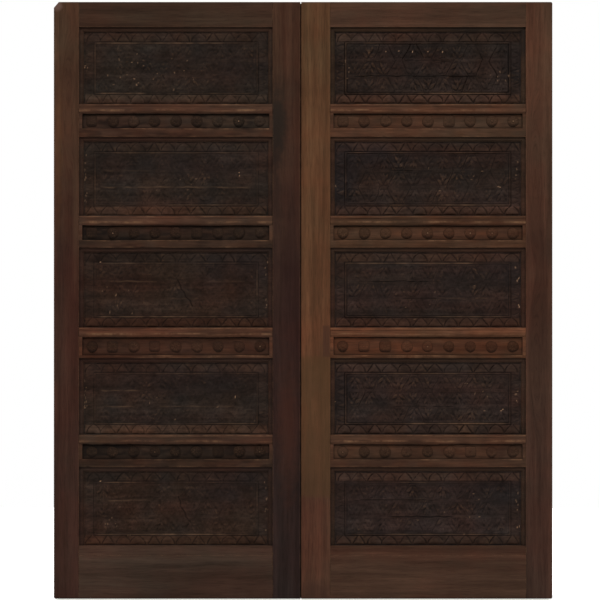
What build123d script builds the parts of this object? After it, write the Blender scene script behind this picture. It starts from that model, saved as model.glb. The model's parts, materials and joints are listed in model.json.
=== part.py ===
import os

from build123d import *

os.makedirs("parts", exist_ok=True)

# A pair of carved door leaves hung on the front of a plain timber frame. X runs to the right,
# Y runs from the carved side into the doorway and Z runs up. The origin is under the middle
# of the sill. Every size is in millimetres.

# Leaf layout, seen from the carved side
leaf_thickness = 45.0
meeting_gap = 3.0
meeting_lip = 5.0  # thickness of the lip on the edge of each meeting stile
meeting_lap = 0.5  # how far the lips cover each other, which the arc of the swing still clears
left_hinge_stile = 90.0
left_opening = 692.0
left_meeting_stile = 99.5
right_meeting_stile = 104.0
right_opening = 699.0
right_hinge_stile = 95.0
top_rail_height = 89.0
panel_heights = (275.0, 282.0, 286.0, 274.0, 281.0)  # clear openings, from the top down
frieze_rail_heights = (118.0, 114.0, 109.0, 116.0)  # from the top down
bottom_rail_height = 189.0
arris = 1.5  # worn edge of a stile
corner_round = 6.0  # worn outer corner of a leaf
lost_corner_width = 18.0  # broken off the top outer corner of the left leaf
lost_corner_height = 21.0

# Joints inside a leaf
groove_setback = 20.0  # face of a leaf to its panel grooves
tongue_thickness = 10.0
tongue_length = 9.5
tenon_length = 32.0
end_shoulder = 30.0  # wood left above the top tenon and below the bottom one
joint_clearance = 0.5

# Carved panels
panel_setback = 16.0  # face of a leaf to the carved ground
panel_thickness = 20.0
strip_width = 16.0
strip_setback = 8.0  # face of a leaf to the face of a panel strip
strip_chamfer = 5.0
mitre_gap = 0.3
border_inset = 21.0  # sides and top of the opening to the carved border
border_foot_inset = 4.0  # bottom of the opening to the carved border
border_width = 31.0
border_pitch = 54.0
border_relief = 3.0
bead_width = 6.0
bead_relief = 4.5
field_margin = 2.5
row_count = 3
motif_pitch = 52.0
motif_relief = 4.0
cut_width = 3.0  # knife cut between neighbouring motifs

# Rails between the panels
rail_setback = 1.0
crown_height = 34.0
crown_rise = 3.0
frieze_quirk = 3.0
frieze_heights = (50.0, 50.0, 62.0, 50.0)  # sunk fields for the rosettes, from the top down
frieze_depth = 9.0
frieze_margin = 12.0
rosette_count = 9
rosette_from_end = 45.0  # end of a rail to the middle of its first rosette
rosette_diameter = 41.0
rosette_relief = 6.5
rosette_sides = 8
recessed_band_height = 34.0
recessed_band_depth = 2.5

# Frame
frame_depth = 90.0
jamb_width = 70.0
head_height = 70.0
sill_height = 45.0
leaf_overhang = 8.0  # how far the leaves reach past the frame at the sides and the top
closing_gap = 3.0  # back of a closed leaf to the face of the frame
floor_gap = 5.0
frame_tenon_length = 30.0
frame_tenon_thickness = 30.0
frame_tenon_shoulder = 12.0
fixing_hole_diameter = 9.0
fixing_from_end = 300.0

# Hinges
hinge_height = 110.0
hinge_from_end = 230.0  # end of a leaf to the middle of its nearest hinge
hinge_plate_width = 38.0
hinge_plate_thickness = 2.5
hinge_plate_gap = 0.8
knuckle_radius = 6.0
knuckle_sides = 12  # forged barrel, hammered to flats
knuckle_end_gap = 0.4
pin_radius = 3.0
pin_clearance = 0.05
turning_clearance = 0.5

# Bolts on the back of the leaves
bolt_bar = 9.0
bolt_length = 190.0
bolt_throw = 25.0
bolt_rest_gap = 4.0  # end of a drawn bolt to the head or the sill
bolt_standoff = 14.0  # back of a leaf to the middle of the bar
bolt_clearance = 0.4
bolt_plate_width = 34.0
bolt_plate_height = 150.0
bolt_plate_thickness = 2.5
bolt_plate_inset = 14.0  # near end of the plate to the head or the sill
bracket_count = 3
bracket_width = 19.0
bracket_length = 12.0
bracket_wall = 3.0
bolt_knob_diameter = 12.0
bolt_knob_length = 14.0
bolt_knob_sides = 8
keeper_clearance = 0.7
keeper_depth = 32.0

left_leaf_width = left_hinge_stile + left_opening + left_meeting_stile
right_leaf_width = right_meeting_stile + right_opening + right_hinge_stile
pair_width = left_leaf_width + meeting_gap + right_leaf_width
leaf_height = (
    top_rail_height + sum(panel_heights) + sum(frieze_rail_heights) + bottom_rail_height
)
leaf_bottom = floor_gap
leaf_top = leaf_bottom + leaf_height
frame_front = -frame_depth / 2
leaf_back = frame_front - closing_gap
leaf_front = leaf_back - leaf_thickness
frame_top = leaf_top - leaf_overhang
frame_half_width = pair_width / 2 - leaf_overhang
doorway_half_width = frame_half_width - jamb_width
doorway_top = frame_top - head_height
groove_depth = tongue_length + joint_clearance
mortise_depth = tenon_length + joint_clearance
pin_y = (frame_front + leaf_back) / 2
hinge_heights = (
    leaf_bottom + hinge_from_end,
    (leaf_bottom + leaf_top) / 2,
    leaf_top - hinge_from_end,
)


def front_plane(setback):
    # Drawn as the door is seen: sketch x is X, sketch y is Z, and it faces the viewer
    return Plane(origin=(0, leaf_front + setback, 0), x_dir=(1, 0, 0), z_dir=(0, -1, 0))


def back_plane(standoff):
    # Drawn from behind the leaf, so sketch x is the other way along X
    return Plane(origin=(0, leaf_back + standoff, 0), x_dir=(-1, 0, 0), z_dir=(0, 1, 0))


def on_face(setback, x, z, turn=0):
    return front_plane(setback).location * Location((x, z, 0), (0, 0, turn))


def patch(x_low, x_high, y_low, y_high, mode=Mode.ADD):
    with Locations(((x_low + x_high) / 2, (y_low + y_high) / 2)):
        Rectangle(x_high - x_low, y_high - y_low, mode=mode)


def save(part, name):
    part.label = name
    export_step(part, f"parts/{name}.step")


def panel_spans():
    # Bottom and top of each panel opening, from the top of the leaf down
    spans = []
    top = leaf_top - top_rail_height
    for height, rail in zip(panel_heights, frieze_rail_heights + (0,)):
        spans.append((top - height, top))
        top -= height + rail
    return spans


def frieze_rail_spans():
    spans = panel_spans()
    return [(lower[1], upper[0]) for upper, lower in zip(spans, spans[1:])]


def tenon_spans():
    # Bottom and top of every rail's tenon, which the grooves for the panels shorten
    spans = panel_spans()
    friezes = [(low + groove_depth, high - groove_depth) for low, high in frieze_rail_spans()]
    top_rail = (spans[0][1] + groove_depth, leaf_top - end_shoulder)
    bottom_rail = (leaf_bottom + end_shoulder, spans[-1][0] - groove_depth)
    return [top_rail] + friezes + [bottom_rail]


def hinge_gain(outer_side, low_y, high_y, knuckle_low_y, knuckle_high_y, edge_x):
    # Shallow seat for a plate and a deeper one for the knuckles, at each hinge
    pin_x = outer_side * frame_half_width
    plate_end = pin_x - outer_side * hinge_plate_width
    knuckle_end = pin_x - outer_side * (knuckle_radius + turning_clearance)
    for height in hinge_heights:
        with BuildSketch(Plane.XY.offset(height - hinge_height / 2)) as gain:
            patch(*sorted((plate_end, edge_x)), low_y, high_y)
            patch(*sorted((knuckle_end, edge_x)), knuckle_low_y, knuckle_high_y)
        extrude(gain.sketch, amount=hinge_height, mode=Mode.SUBTRACT)


def make_stile(name, x_low, x_high, opening_side, outer_side):
    # The left meeting stile has its lip at the back and the right one at the front
    spans = panel_spans()
    edge = x_high if opening_side > 0 else x_low
    with BuildPart() as stile:
        with BuildSketch(front_plane(0)):
            patch(x_low, x_high, leaf_bottom, leaf_top)
        extrude(amount=-leaf_thickness)
        with BuildSketch(front_plane(groove_setback)):
            patch(
                *sorted((edge, edge - opening_side * groove_depth)),
                spans[-1][0] - groove_depth,
                spans[0][1] + groove_depth,
            )
            for low, high in tenon_spans():
                patch(*sorted((edge, edge - opening_side * mortise_depth)), low, high)
        extrude(amount=-tongue_thickness, mode=Mode.SUBTRACT)
        if not outer_side:
            lip_reach = meeting_gap + meeting_lap
            meets_at = x_high if opening_side < 0 else x_low
            with BuildSketch(front_plane(leaf_thickness)) as lip:
                patch(meets_at, meets_at + lip_reach, leaf_bottom, leaf_top)
            if opening_side < 0:
                extrude(lip.sketch, amount=meeting_lip)
            else:
                extrude(lip.sketch, amount=leaf_thickness - meeting_lip, mode=Mode.SUBTRACT)
        long_edges = stile.edges().filter_by(Axis.Z).group_by(Axis.Y)[0]
        chamfer(long_edges, arris)
        if outer_side:
            outer_x = x_low if outer_side < 0 else x_high
            plate_y = pin_y - hinge_plate_gap / 2 - hinge_plate_thickness
            hinge_gain(
                outer_side,
                plate_y,
                leaf_back,
                pin_y - knuckle_radius - turning_clearance,
                leaf_back,
                outer_x,
            )
            corners = (
                stile.edges()
                .filter_by(Axis.Y)
                .filter_by(lambda edge: abs(edge.center().X - outer_x) < arris)
                .filter_by(lambda edge: edge.length > leaf_thickness / 2)
            )
            fillet(corners, corner_round)
        if outer_side < 0:
            with BuildSketch(front_plane(0)) as lost_corner:
                with BuildLine():
                    Polyline(
                        (x_low, leaf_top),
                        (x_low + lost_corner_width, leaf_top),
                        (x_low, leaf_top - lost_corner_height),
                        close=True,
                    )
                make_face()
            extrude(lost_corner.sketch, amount=-leaf_thickness, mode=Mode.SUBTRACT)
    save(stile.part, name)


def add_tenons(x_low, x_high, low, high):
    with BuildSketch(front_plane(groove_setback)) as tenons:
        patch(x_low - tenon_length, x_high + tenon_length, low, high)
    extrude(tenons.sketch, amount=-tongue_thickness)


def cut_groove(x_low, x_high, low, high):
    with BuildSketch(front_plane(groove_setback)) as groove:
        patch(x_low, x_high, low, high)
    extrude(groove.sketch, amount=-tongue_thickness, mode=Mode.SUBTRACT)


def make_top_rail(name, x_low, x_high):
    low = panel_spans()[0][1]
    with BuildPart() as rail:
        with BuildSketch(front_plane(0)):
            patch(x_low, x_high, low, leaf_top)
        extrude(amount=-leaf_thickness)
        add_tenons(x_low, x_high, *tenon_spans()[0])
        cut_groove(x_low, x_high, low, low + groove_depth)
    save(rail.part, name)


def make_bottom_rail(name, x_low, x_high):
    high = panel_spans()[-1][0]
    band_low = high - recessed_band_height
    with BuildPart() as rail:
        with BuildSketch(front_plane(0)):
            patch(x_low, x_high, leaf_bottom, high)
        extrude(amount=-leaf_thickness)
        with BuildSketch(front_plane(0)):
            patch(x_low, x_high, band_low, high)
        extrude(amount=-recessed_band_depth, mode=Mode.SUBTRACT)
        board_edge = rail.edges().filter_by(Axis.X).group_by(Axis.Y)[0].sort_by(Axis.Z)[-1]
        chamfer(board_edge, arris)
        add_tenons(x_low, x_high, *tenon_spans()[-1])
        cut_groove(x_low, x_high, high - groove_depth, high)
    save(rail.part, name)


def make_frieze_rail(name, x_low, x_high, span, tenon, frieze_height):
    low, high = span
    crown_low = high - crown_height
    frieze_high = crown_low - frieze_quirk
    frieze_low = frieze_high - frieze_height
    face_y = leaf_front + rail_setback
    with BuildPart() as rail:
        with BuildSketch(Plane.YZ.offset(x_low)):
            with BuildLine():
                Polyline(
                    (face_y, crown_low),
                    (face_y, low),
                    (leaf_back, low),
                    (leaf_back, high),
                    (face_y, high),
                )
                SagittaArc((face_y, high), (face_y, crown_low), -crown_rise)
            make_face()
        extrude(amount=x_high - x_low)
        add_tenons(x_low, x_high, *tenon)
        cut_groove(x_low, x_high, low, low + groove_depth)
        cut_groove(x_low, x_high, high - groove_depth, high)
        with BuildSketch(front_plane(rail_setback)):
            patch(x_low + frieze_margin, x_high - frieze_margin, frieze_low, frieze_high)
        extrude(amount=-frieze_depth, mode=Mode.SUBTRACT)
        pitch = (x_high - x_low - 2 * rosette_from_end) / (rosette_count - 1)
        middle = ((x_low + x_high) / 2, (frieze_low + frieze_high) / 2)
        with Locations(on_face(rail_setback + frieze_depth, *middle)):
            with GridLocations(pitch, 0, rosette_count, 1):
                rosette()
    save(rail.part, name)


def chip(base, depth, relief):
    # Low three-sided boss that stands on y = 0 and points along y, its peak over its middle
    foot = [Vector(-base / 2, 0, 0), Vector(base / 2, 0, 0), Vector(0, depth, 0)]
    middle = sum(foot, Vector()) / len(foot)
    ConvexPolyhedron(foot + [middle + Vector(0, 0, relief)])


def rosette():
    turn = 360 / rosette_sides
    rim = [Vector(rosette_diameter / 2, 0).rotate(Axis.Z, turn * i) for i in range(rosette_sides)]
    ConvexPolyhedron(rim + [Vector(0, 0, rosette_relief)])


def make_panel(name, x_low, x_high, low, high):
    x = (x_low + x_high) / 2
    z = (low + border_foot_inset + high - border_inset) / 2
    border_long = x_high - x_low - 2 * (border_inset + border_width)
    border_short = high - low - border_inset - border_foot_inset - 2 * border_width
    long_count = max(1, round(border_long / border_pitch))
    short_count = max(1, round(border_short / border_pitch))
    field_long = border_long - 2 * (bead_width + field_margin)
    field_short = border_short - 2 * (bead_width + field_margin)
    row_height = field_short / row_count
    motif_count = max(2, round(field_long / motif_pitch) - 1)
    motif_step = field_long / (motif_count + 1)
    odd_shift = 0 if motif_count % 2 else motif_step / 2
    with BuildPart() as panel:
        with BuildSketch(front_plane(panel_setback)):
            patch(x_low, x_high, low, high)
        extrude(amount=-panel_thickness)
        with BuildSketch(front_plane(groove_setback)):
            patch(
                x_low - tongue_length,
                x_high + tongue_length,
                low - tongue_length,
                high + tongue_length,
            )
        extrude(amount=-tongue_thickness)
        with BuildSketch(front_plane(panel_setback)):
            with Locations((x, z)):
                Rectangle(border_long, border_short)
                Rectangle(
                    border_long - 2 * bead_width,
                    border_short - 2 * bead_width,
                    mode=Mode.SUBTRACT,
                )
        extrude(amount=bead_relief)
        # Border: chips that stand on the bead and point outwards
        for turn, side in ((0, 1), (180, -1)):
            with Locations(on_face(panel_setback, x, z + side * border_short / 2, turn)):
                with GridLocations(border_long / long_count, 0, long_count, 1):
                    chip(border_long / long_count - cut_width, border_width, border_relief)
            with Locations(on_face(panel_setback, x - side * border_long / 2, z, turn + 90)):
                with GridLocations(border_short / short_count, 0, short_count, 1):
                    chip(border_short / short_count - cut_width, border_width, border_relief)
        # Field: rows of chips, every other one upside down
        for turn, side, count in ((0, -1, (motif_count + 1) // 2), (180, 1, motif_count // 2)):
            foot = z + side * (row_height - cut_width) / 2
            with Locations(on_face(panel_setback, x + side * odd_shift, foot, turn)):
                with GridLocations(2 * motif_step, row_height, count, row_count):
                    chip(2 * (motif_step - cut_width), row_height - cut_width, motif_relief)
    save(panel.part, name)


def make_panel_strips(name, x_low, x_high, low, high):
    # Strips at the top and the sides, mitred where they meet, that hold the panel's edges
    middle_x = (x_low + x_high) / 2
    inner_low = x_low + strip_width
    inner_high = x_high - strip_width

    def on_inner_edge(edge):
        place = edge.center()
        beside = min(abs(place.X - inner_low), abs(place.X - inner_high)) < mitre_gap
        above = abs(place.X - middle_x) < mitre_gap and abs(place.Z - high) > mitre_gap
        return beside or above

    with BuildPart() as strips:
        with BuildSketch(front_plane(panel_setback)):
            patch(x_low, x_high, low, high)
            patch(inner_low, inner_high, low, high - strip_width, mode=Mode.SUBTRACT)
            for corner_x, turn in ((x_low, -45), (x_high, 45)):
                inward = strip_width / 2 if turn < 0 else -strip_width / 2
                with Locations((corner_x + inward, high - strip_width / 2)):
                    Rectangle(2 * strip_width, mitre_gap, rotation=turn, mode=Mode.SUBTRACT)
        extrude(amount=panel_setback - strip_setback)
        inner_edges = strips.edges().group_by(Axis.Y)[0].filter_by(on_inner_edge)
        chamfer(inner_edges, strip_chamfer)
    save(strips.part, name)


def make_leaf(name, x_low, stile_widths, opening, outer_side):
    opening_low = x_low + stile_widths[0]
    opening_high = opening_low + opening
    x_high = opening_high + stile_widths[1]
    kinds = ("hinge", "meeting") if outer_side < 0 else ("meeting", "hinge")
    make_stile(
        f"{name}_{kinds[0]}_stile", x_low, opening_low, 1, outer_side if outer_side < 0 else 0
    )
    make_stile(
        f"{name}_{kinds[1]}_stile", opening_high, x_high, -1, outer_side if outer_side > 0 else 0
    )
    make_top_rail(f"{name}_top_rail", opening_low, opening_high)
    make_bottom_rail(f"{name}_bottom_rail", opening_low, opening_high)
    rails = zip(frieze_rail_spans(), tenon_spans()[1:], frieze_heights)
    for number, rail in enumerate(rails, 1):
        make_frieze_rail(f"{name}_frieze_rail_{number}", opening_low, opening_high, *rail)
    for number, (low, high) in enumerate(panel_spans(), 1):
        make_panel(f"{name}_panel_{number}", opening_low, opening_high, low, high)
        make_panel_strips(f"{name}_panel_strips_{number}", opening_low, opening_high, low, high)


def make_jamb(name, side):
    inner_x = side * doorway_half_width
    outer_x = side * frame_half_width
    hole_heights = (fixing_from_end, frame_top - fixing_from_end)
    with BuildPart() as jamb:
        with BuildSketch(Plane.XY):
            patch(*sorted((inner_x, outer_x)), frame_front, frame_depth / 2)
        extrude(amount=frame_top)
        for low, high in frame_tenon_spans():
            with BuildSketch(Plane.XY.offset(low)):
                patch(
                    *sorted((inner_x, inner_x + side * (frame_tenon_length + joint_clearance))),
                    -frame_tenon_thickness / 2,
                    frame_tenon_thickness / 2,
                )
            extrude(amount=high - low, mode=Mode.SUBTRACT)
        plate_y = pin_y + hinge_plate_gap / 2 + hinge_plate_thickness
        hinge_gain(
            side,
            frame_front,
            plate_y,
            frame_front,
            pin_y + knuckle_radius + turning_clearance,
            outer_x,
        )
        with BuildSketch(Plane.YZ.offset(inner_x)):
            with Locations(*[(0, height) for height in hole_heights]):
                Circle(fixing_hole_diameter / 2)
        extrude(amount=side * jamb_width, mode=Mode.SUBTRACT)
    save(jamb.part, name)


def frame_tenon_spans():
    head = (doorway_top + frame_tenon_shoulder, frame_top - frame_tenon_shoulder)
    sill = (frame_tenon_shoulder, sill_height - frame_tenon_shoulder)
    return [head, sill]


def bolt_places():
    left_x = -pair_width / 2 + left_leaf_width - left_meeting_stile / 2
    right_x = pair_width / 2 - right_leaf_width + right_meeting_stile / 2
    return {"left": left_x, "right": right_x}


def make_cross_member(name, low, high, tenon, keeper_low):
    # Head or sill, with a blind hole for each bolt
    bar_y = leaf_back + bolt_standoff
    keeper = bolt_bar + 2 * keeper_clearance
    with BuildPart() as member:
        with BuildSketch(Plane.YZ.offset(-doorway_half_width)):
            patch(frame_front, frame_depth / 2, low, high)
        extrude(amount=2 * doorway_half_width)
        with BuildSketch(Plane.YZ.offset(-doorway_half_width - frame_tenon_length)):
            patch(-frame_tenon_thickness / 2, frame_tenon_thickness / 2, *tenon)
        extrude(amount=2 * (doorway_half_width + frame_tenon_length))
        with BuildSketch(Plane.XY.offset(keeper_low)):
            with Locations(*[(x, bar_y) for x in bolt_places().values()]):
                Rectangle(keeper, keeper)
        extrude(amount=keeper_depth, mode=Mode.SUBTRACT)
    save(member.part, name)


def make_hinge_half(name, side, swings):
    # One half of each hinge on this side, its knuckle rolled round the pin
    facing = -1 if swings else 1
    pin_x = side * frame_half_width
    plate_start = pin_x - side * (knuckle_radius + turning_clearance)
    plate_end = pin_x - side * hinge_plate_width
    tab_end = pin_x - side * (pin_radius + pin_clearance + knuckle_radius) / 2
    plate_near = pin_y + facing * hinge_plate_gap / 2
    plate_far = plate_near + facing * hinge_plate_thickness
    plate_y = sorted((plate_near, plate_far))
    knuckle_length = (hinge_height - knuckle_end_gap) / 2
    with BuildPart() as half:
        for height in hinge_heights:
            bottom = height - hinge_height / 2
            knuckle_low = bottom + (knuckle_length + knuckle_end_gap if swings else 0)
            with BuildSketch(Plane.XY.offset(bottom)):
                patch(*sorted((plate_start, plate_end)), *plate_y)
            extrude(amount=hinge_height)
            with BuildSketch(Plane.XY.offset(knuckle_low)):
                with Locations((pin_x, pin_y)):
                    RegularPolygon(knuckle_radius, knuckle_sides)
                patch(*sorted((tab_end, plate_start)), *plate_y)
                with Locations((pin_x, pin_y)):
                    Circle(pin_radius + pin_clearance, mode=Mode.SUBTRACT)
            extrude(amount=knuckle_length)
    save(half.part, name)


def make_hinge_pins(name, side):
    with BuildPart() as pins:
        for height in hinge_heights:
            with BuildSketch(Plane.XY.offset(height - hinge_height / 2)):
                with Locations((side * frame_half_width, pin_y)):
                    Circle(pin_radius)
            extrude(amount=hinge_height)
    save(pins.part, name)


def make_bolt(name, x, near_end, inward):
    # near_end is the face of the head or the sill, and inward points from it along the leaf
    bar_y = leaf_back + bolt_standoff
    bar_hole = bolt_bar + 2 * bolt_clearance
    plate_near = near_end + inward * bolt_plate_inset
    plate_far = plate_near + inward * bolt_plate_height
    bracket_reach = bolt_standoff + bar_hole / 2 + bracket_wall
    bracket_pitch = (bolt_plate_height - bracket_length) / (bracket_count - 1)
    with BuildPart() as case:
        with BuildSketch(back_plane(0)):
            patch(
                -x - bolt_plate_width / 2,
                -x + bolt_plate_width / 2,
                *sorted((plate_near, plate_far)),
            )
        extrude(amount=bolt_plate_thickness)
        for bracket in range(bracket_count):
            with BuildSketch(Plane.XY.offset(min(plate_near, plate_far) + bracket * bracket_pitch)):
                patch(
                    x - bracket_width / 2,
                    x + bracket_width / 2,
                    leaf_back + bolt_plate_thickness,
                    leaf_back + bracket_reach,
                )
                with Locations((x, bar_y)):
                    Rectangle(bar_hole, bar_hole, mode=Mode.SUBTRACT)
            extrude(amount=bracket_length)
    save(case.part, f"{name}_bolt_case")

    bar_near = near_end + inward * bolt_rest_gap
    bar_far = bar_near + inward * bolt_length
    with BuildPart() as bar:
        with BuildSketch(Plane.XY.offset(min(bar_near, bar_far))):
            with Locations((x, bar_y)):
                Rectangle(bolt_bar, bolt_bar)
        extrude(amount=bolt_length)
    save(bar.part, f"{name}_bolt_bar")

    # The knob runs between the two brackets farthest from the head or the sill
    last_gap_middle = plate_far - inward * (bracket_length + bracket_pitch) / 2
    knob_height = last_gap_middle + inward * bolt_throw / 2
    with BuildPart() as knob:
        with BuildSketch(back_plane(bolt_standoff + bolt_bar / 2)):
            with Locations((-x, knob_height)):
                RegularPolygon(bolt_knob_diameter / 2, bolt_knob_sides)
        extrude(amount=bolt_knob_length)
    save(knob.part, f"{name}_bolt_knob")


make_leaf(
    "left", -pair_width / 2, (left_hinge_stile, left_meeting_stile), left_opening, -1
)
make_leaf(
    "right",
    pair_width / 2 - right_leaf_width,
    (right_meeting_stile, right_hinge_stile),
    right_opening,
    1,
)
for side_name, side in (("left", -1), ("right", 1)):
    make_jamb(f"{side_name}_jamb", side)
    make_hinge_half(f"{side_name}_hinge_frame_plates", side, False)
    make_hinge_half(f"{side_name}_hinge_leaf_plates", side, True)
    make_hinge_pins(f"{side_name}_hinge_pins", side)
make_cross_member("head", doorway_top, frame_top, frame_tenon_spans()[0], doorway_top)
make_cross_member(
    "sill", 0, sill_height, frame_tenon_spans()[1], sill_height - keeper_depth
)
for side_name, x in bolt_places().items():
    make_bolt(f"{side_name}_top", x, doorway_top, -1)
    make_bolt(f"{side_name}_bottom", x, sill_height, 1)
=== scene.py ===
import json
import math

import bmesh
import bpy
import numpy as np
from mathutils import Matrix, Vector

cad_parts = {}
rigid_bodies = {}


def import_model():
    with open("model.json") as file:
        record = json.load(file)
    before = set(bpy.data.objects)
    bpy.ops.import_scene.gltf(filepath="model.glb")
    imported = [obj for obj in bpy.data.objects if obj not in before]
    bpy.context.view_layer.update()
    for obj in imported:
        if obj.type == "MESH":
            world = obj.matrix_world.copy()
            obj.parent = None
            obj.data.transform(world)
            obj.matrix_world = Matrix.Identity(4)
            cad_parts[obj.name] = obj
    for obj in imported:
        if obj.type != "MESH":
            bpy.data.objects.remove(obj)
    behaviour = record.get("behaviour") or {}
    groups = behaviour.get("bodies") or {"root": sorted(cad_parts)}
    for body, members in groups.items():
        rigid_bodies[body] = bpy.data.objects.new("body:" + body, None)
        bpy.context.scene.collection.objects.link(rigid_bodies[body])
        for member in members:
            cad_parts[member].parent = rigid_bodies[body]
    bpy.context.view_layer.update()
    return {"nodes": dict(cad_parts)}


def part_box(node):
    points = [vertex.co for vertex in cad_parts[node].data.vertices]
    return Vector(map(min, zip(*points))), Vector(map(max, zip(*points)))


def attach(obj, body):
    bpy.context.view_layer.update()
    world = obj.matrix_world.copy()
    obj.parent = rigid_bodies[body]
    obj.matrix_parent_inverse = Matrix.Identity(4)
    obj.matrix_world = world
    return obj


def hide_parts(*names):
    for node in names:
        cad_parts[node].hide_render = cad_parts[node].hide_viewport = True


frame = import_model()
print("frame loaded:", len(frame["nodes"]), "nodes")

millimetre = 0.001
leafNames = ("left", "right")
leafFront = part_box("left_meeting_stile")[0].y


def tone(red, green, blue):
    # 0 to 255 as a picture shows it, turned into the values that materials work in
    shares = [channel / 255 for channel in (red, green, blue)]
    linear = [s / 12.92 if s <= 0.04045 else ((s + 0.055) / 1.055) ** 2.4 for s in shares]
    return (*linear, 1)


def smoothStep(low, high, value):
    share = np.clip((value - low) / (high - low), 0, 1)
    return share * share * (3 - 2 * share)


def fadeOut(low, high, value):
    return 1 - smoothStep(low, high, value)


def bell(value, middle, width):
    return np.exp(-((value - middle) / width) ** 2)


# Materials

class Recipe:
    # The nodes of one material, or of the world
    def __init__(self, owner):
        owner.use_nodes = True
        self.tree = owner.node_tree
        self.tree.nodes.clear()

    def add(self, kind, inputs=None, **settings):
        made = self.tree.nodes.new(f"ShaderNode{kind}")
        for key, value in settings.items():
            setattr(made, key, value)
        for key, value in (inputs or {}).items():
            if isinstance(value, bpy.types.NodeSocket):
                self.tree.links.new(value, made.inputs[key])
            else:
                made.inputs[key].default_value = value
        return made

    def sums(self, operation, *values, clamp=False):
        inputs = dict(enumerate(values))
        return self.add("Math", inputs, operation=operation, use_clamp=clamp).outputs[0]

    def times(self, first, second, clamp=False):
        return self.sums("MULTIPLY", first, second, clamp=clamp)

    def plus(self, first, second):
        return self.sums("ADD", first, second)

    def length(self, first, second):
        return self.sums("SQRT", self.plus(self.times(first, first), self.times(second, second)))

    def vectors(self, operation, *values):
        return self.add("VectorMath", dict(enumerate(values)), operation=operation).outputs[0]

    def shade(self, colour, share):
        return self.add("VectorMath", {0: colour, "Scale": share}, operation="SCALE").outputs[0]

    def blend(self, share, first, second):
        inputs = {"Factor": share, 6: first, 7: second}
        return self.add("Mix", inputs, data_type="RGBA").outputs[2]

    def remap(self, value, low, high, toLow=0.0, toHigh=1.0):
        inputs = {
            "Value": value, "From Min": low, "From Max": high, "To Min": toLow, "To Max": toHigh,
        }
        return self.add("MapRange", inputs).outputs["Result"]

    def noise(self, place, scale, detail=3.0, roughness=0.55, distortion=0.0):
        inputs = {
            "Vector": place, "Scale": scale, "Detail": detail, "Roughness": roughness,
            "Distortion": distortion,
        }
        return self.add("TexNoise", inputs).outputs["Fac"]

    def mark(self, label):
        return self.add("Attribute", attribute_name=label).outputs["Fac"]

    def flatness(self, radius):
        # 1 on a flat face and lower towards an edge
        rounded = self.add("Bevel", {"Radius": radius}, samples=4).outputs[0]
        normal = self.add("NewGeometry").outputs["Normal"]
        return self.vectors("DOT_PRODUCT", rounded, normal).node.outputs["Value"]

    def finish(self, shader, colour, rough, relief, strength, distance):
        bump = self.add("Bump", {"Height": relief, "Strength": strength, "Distance": distance})
        sockets = {"Base Color": colour, "Roughness": rough, "Normal": bump.outputs[0]}
        for key, value in sockets.items():
            self.tree.links.new(value, shader.inputs[key])

    def showPale(self, plain, pale, output):
        # The camera, gloss and glass see the pale shader, and light comes from the plain one
        rays = self.add("LightPath").outputs
        seen = self.sums("MAXIMUM", rays["Is Camera Ray"], rays["Is Glossy Ray"])
        seen = self.sums("MAXIMUM", seen, rays["Is Transmission Ray"])
        chosen = self.add("MixShader", {0: seen, 1: plain.outputs[0], 2: pale.outputs[0]})
        self.add(output, {"Surface": chosen.outputs[0]})


def startMaterial(name):
    material = bpy.data.materials.new(name)
    recipe = Recipe(material)
    shader = recipe.add("BsdfPrincipled")
    recipe.add("OutputMaterial", {"Surface": shader.outputs[0]})
    return material, recipe, shader, recipe.add("TexCoord").outputs["Object"]


timberLook = {
    "grainStretch": 0.045,  # how far the figure is drawn out along the board
    "wander": 0.022,
    "wanderScale": 2.3,
    "bandScale": 26,
    "bandContrast": 0.24,
    "streakScale": 120,
    "streakContrast": 0.2,
    "poreScale": 520,
    "blotchScale": 3.6,
    "hueScale": 15,
    "hueBlotch": 4.4,
    "tornScale": 46.0,  # edges of the stains and of the patches of painted shade
    "rubbedScale": 31.0,  # patches where the wear shows
    "roughness": (0.55, 0.75),
    "specular": 0.035,
    "redShift": (1.10, 0.96, 0.88, 1),
    "oliveShift": (0.95, 1.03, 0.97, 1),
    "coolShift": (0.70, 1.0, 1.20, 1),
    "warmShift": (1.30, 1.0, 0.80, 1),
    "wearTone": tone(124, 91, 66),
    # Dark tone for painted shade and for dirt
    "shadeAndDirtTone": tone(17, 13, 11),
    "speckTone": tone(176, 138, 108),
    "wearRadius": 0.0028,
    "paintedShadeReach": 0.022,
    "bumpDistance": 0.0006,
    "doorHeight": 2.14,
    "stainAndShadeDepth": (-0.060, -0.068),  # y at which the stains and the painted shade fade in, so that the backs keep none
}


def stainedAndShaded(recipe, colour, parts, torn, spot):
    # The colour with one spot over it, a stain or a patch of painted shade, whose edge is ragged
    centre, half, soft, ragged, strength, shades, *square = spot
    offsets = []
    for axis, middle, reach in zip("XZ", centre, half):
        away = recipe.sums("ABSOLUTE", recipe.sums("SUBTRACT", parts[axis], middle))
        offsets.append(recipe.sums("DIVIDE", away, reach))
    away = recipe.sums("MAXIMUM", *offsets) if square else recipe.length(*offsets)
    away = recipe.plus(away, recipe.remap(torn, 0.0, 1.0, -ragged, ragged))
    inside = recipe.remap(away, 1.0 + soft, 1.0 - soft, 0.0, strength)
    share = recipe.times(inside, recipe.remap(parts["Y"], *timberLook["stainAndShadeDepth"]))
    return recipe.blend(share, colour, tone(*shades))


def archedGrain(recipe, place, arch):
    # Round this spot the figure runs in tall arches instead of straight along the board
    (x, z), width, height = arch
    parts = recipe.add("SeparateXYZ", {0: place}).outputs
    away = recipe.sums("SUBTRACT", parts["X"], x)
    tall = recipe.times(recipe.sums("SUBTRACT", parts["Z"], z), width / height)
    ring = recipe.length(away, tall)
    near = recipe.remap(ring, width, 0.6 * width)
    across = recipe.plus(recipe.times(near, recipe.sums("SUBTRACT", ring, away)), parts["X"])
    return recipe.add("CombineXYZ", {"X": across, "Y": parts["Y"], "Z": parts["Z"]}).outputs[0]


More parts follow.
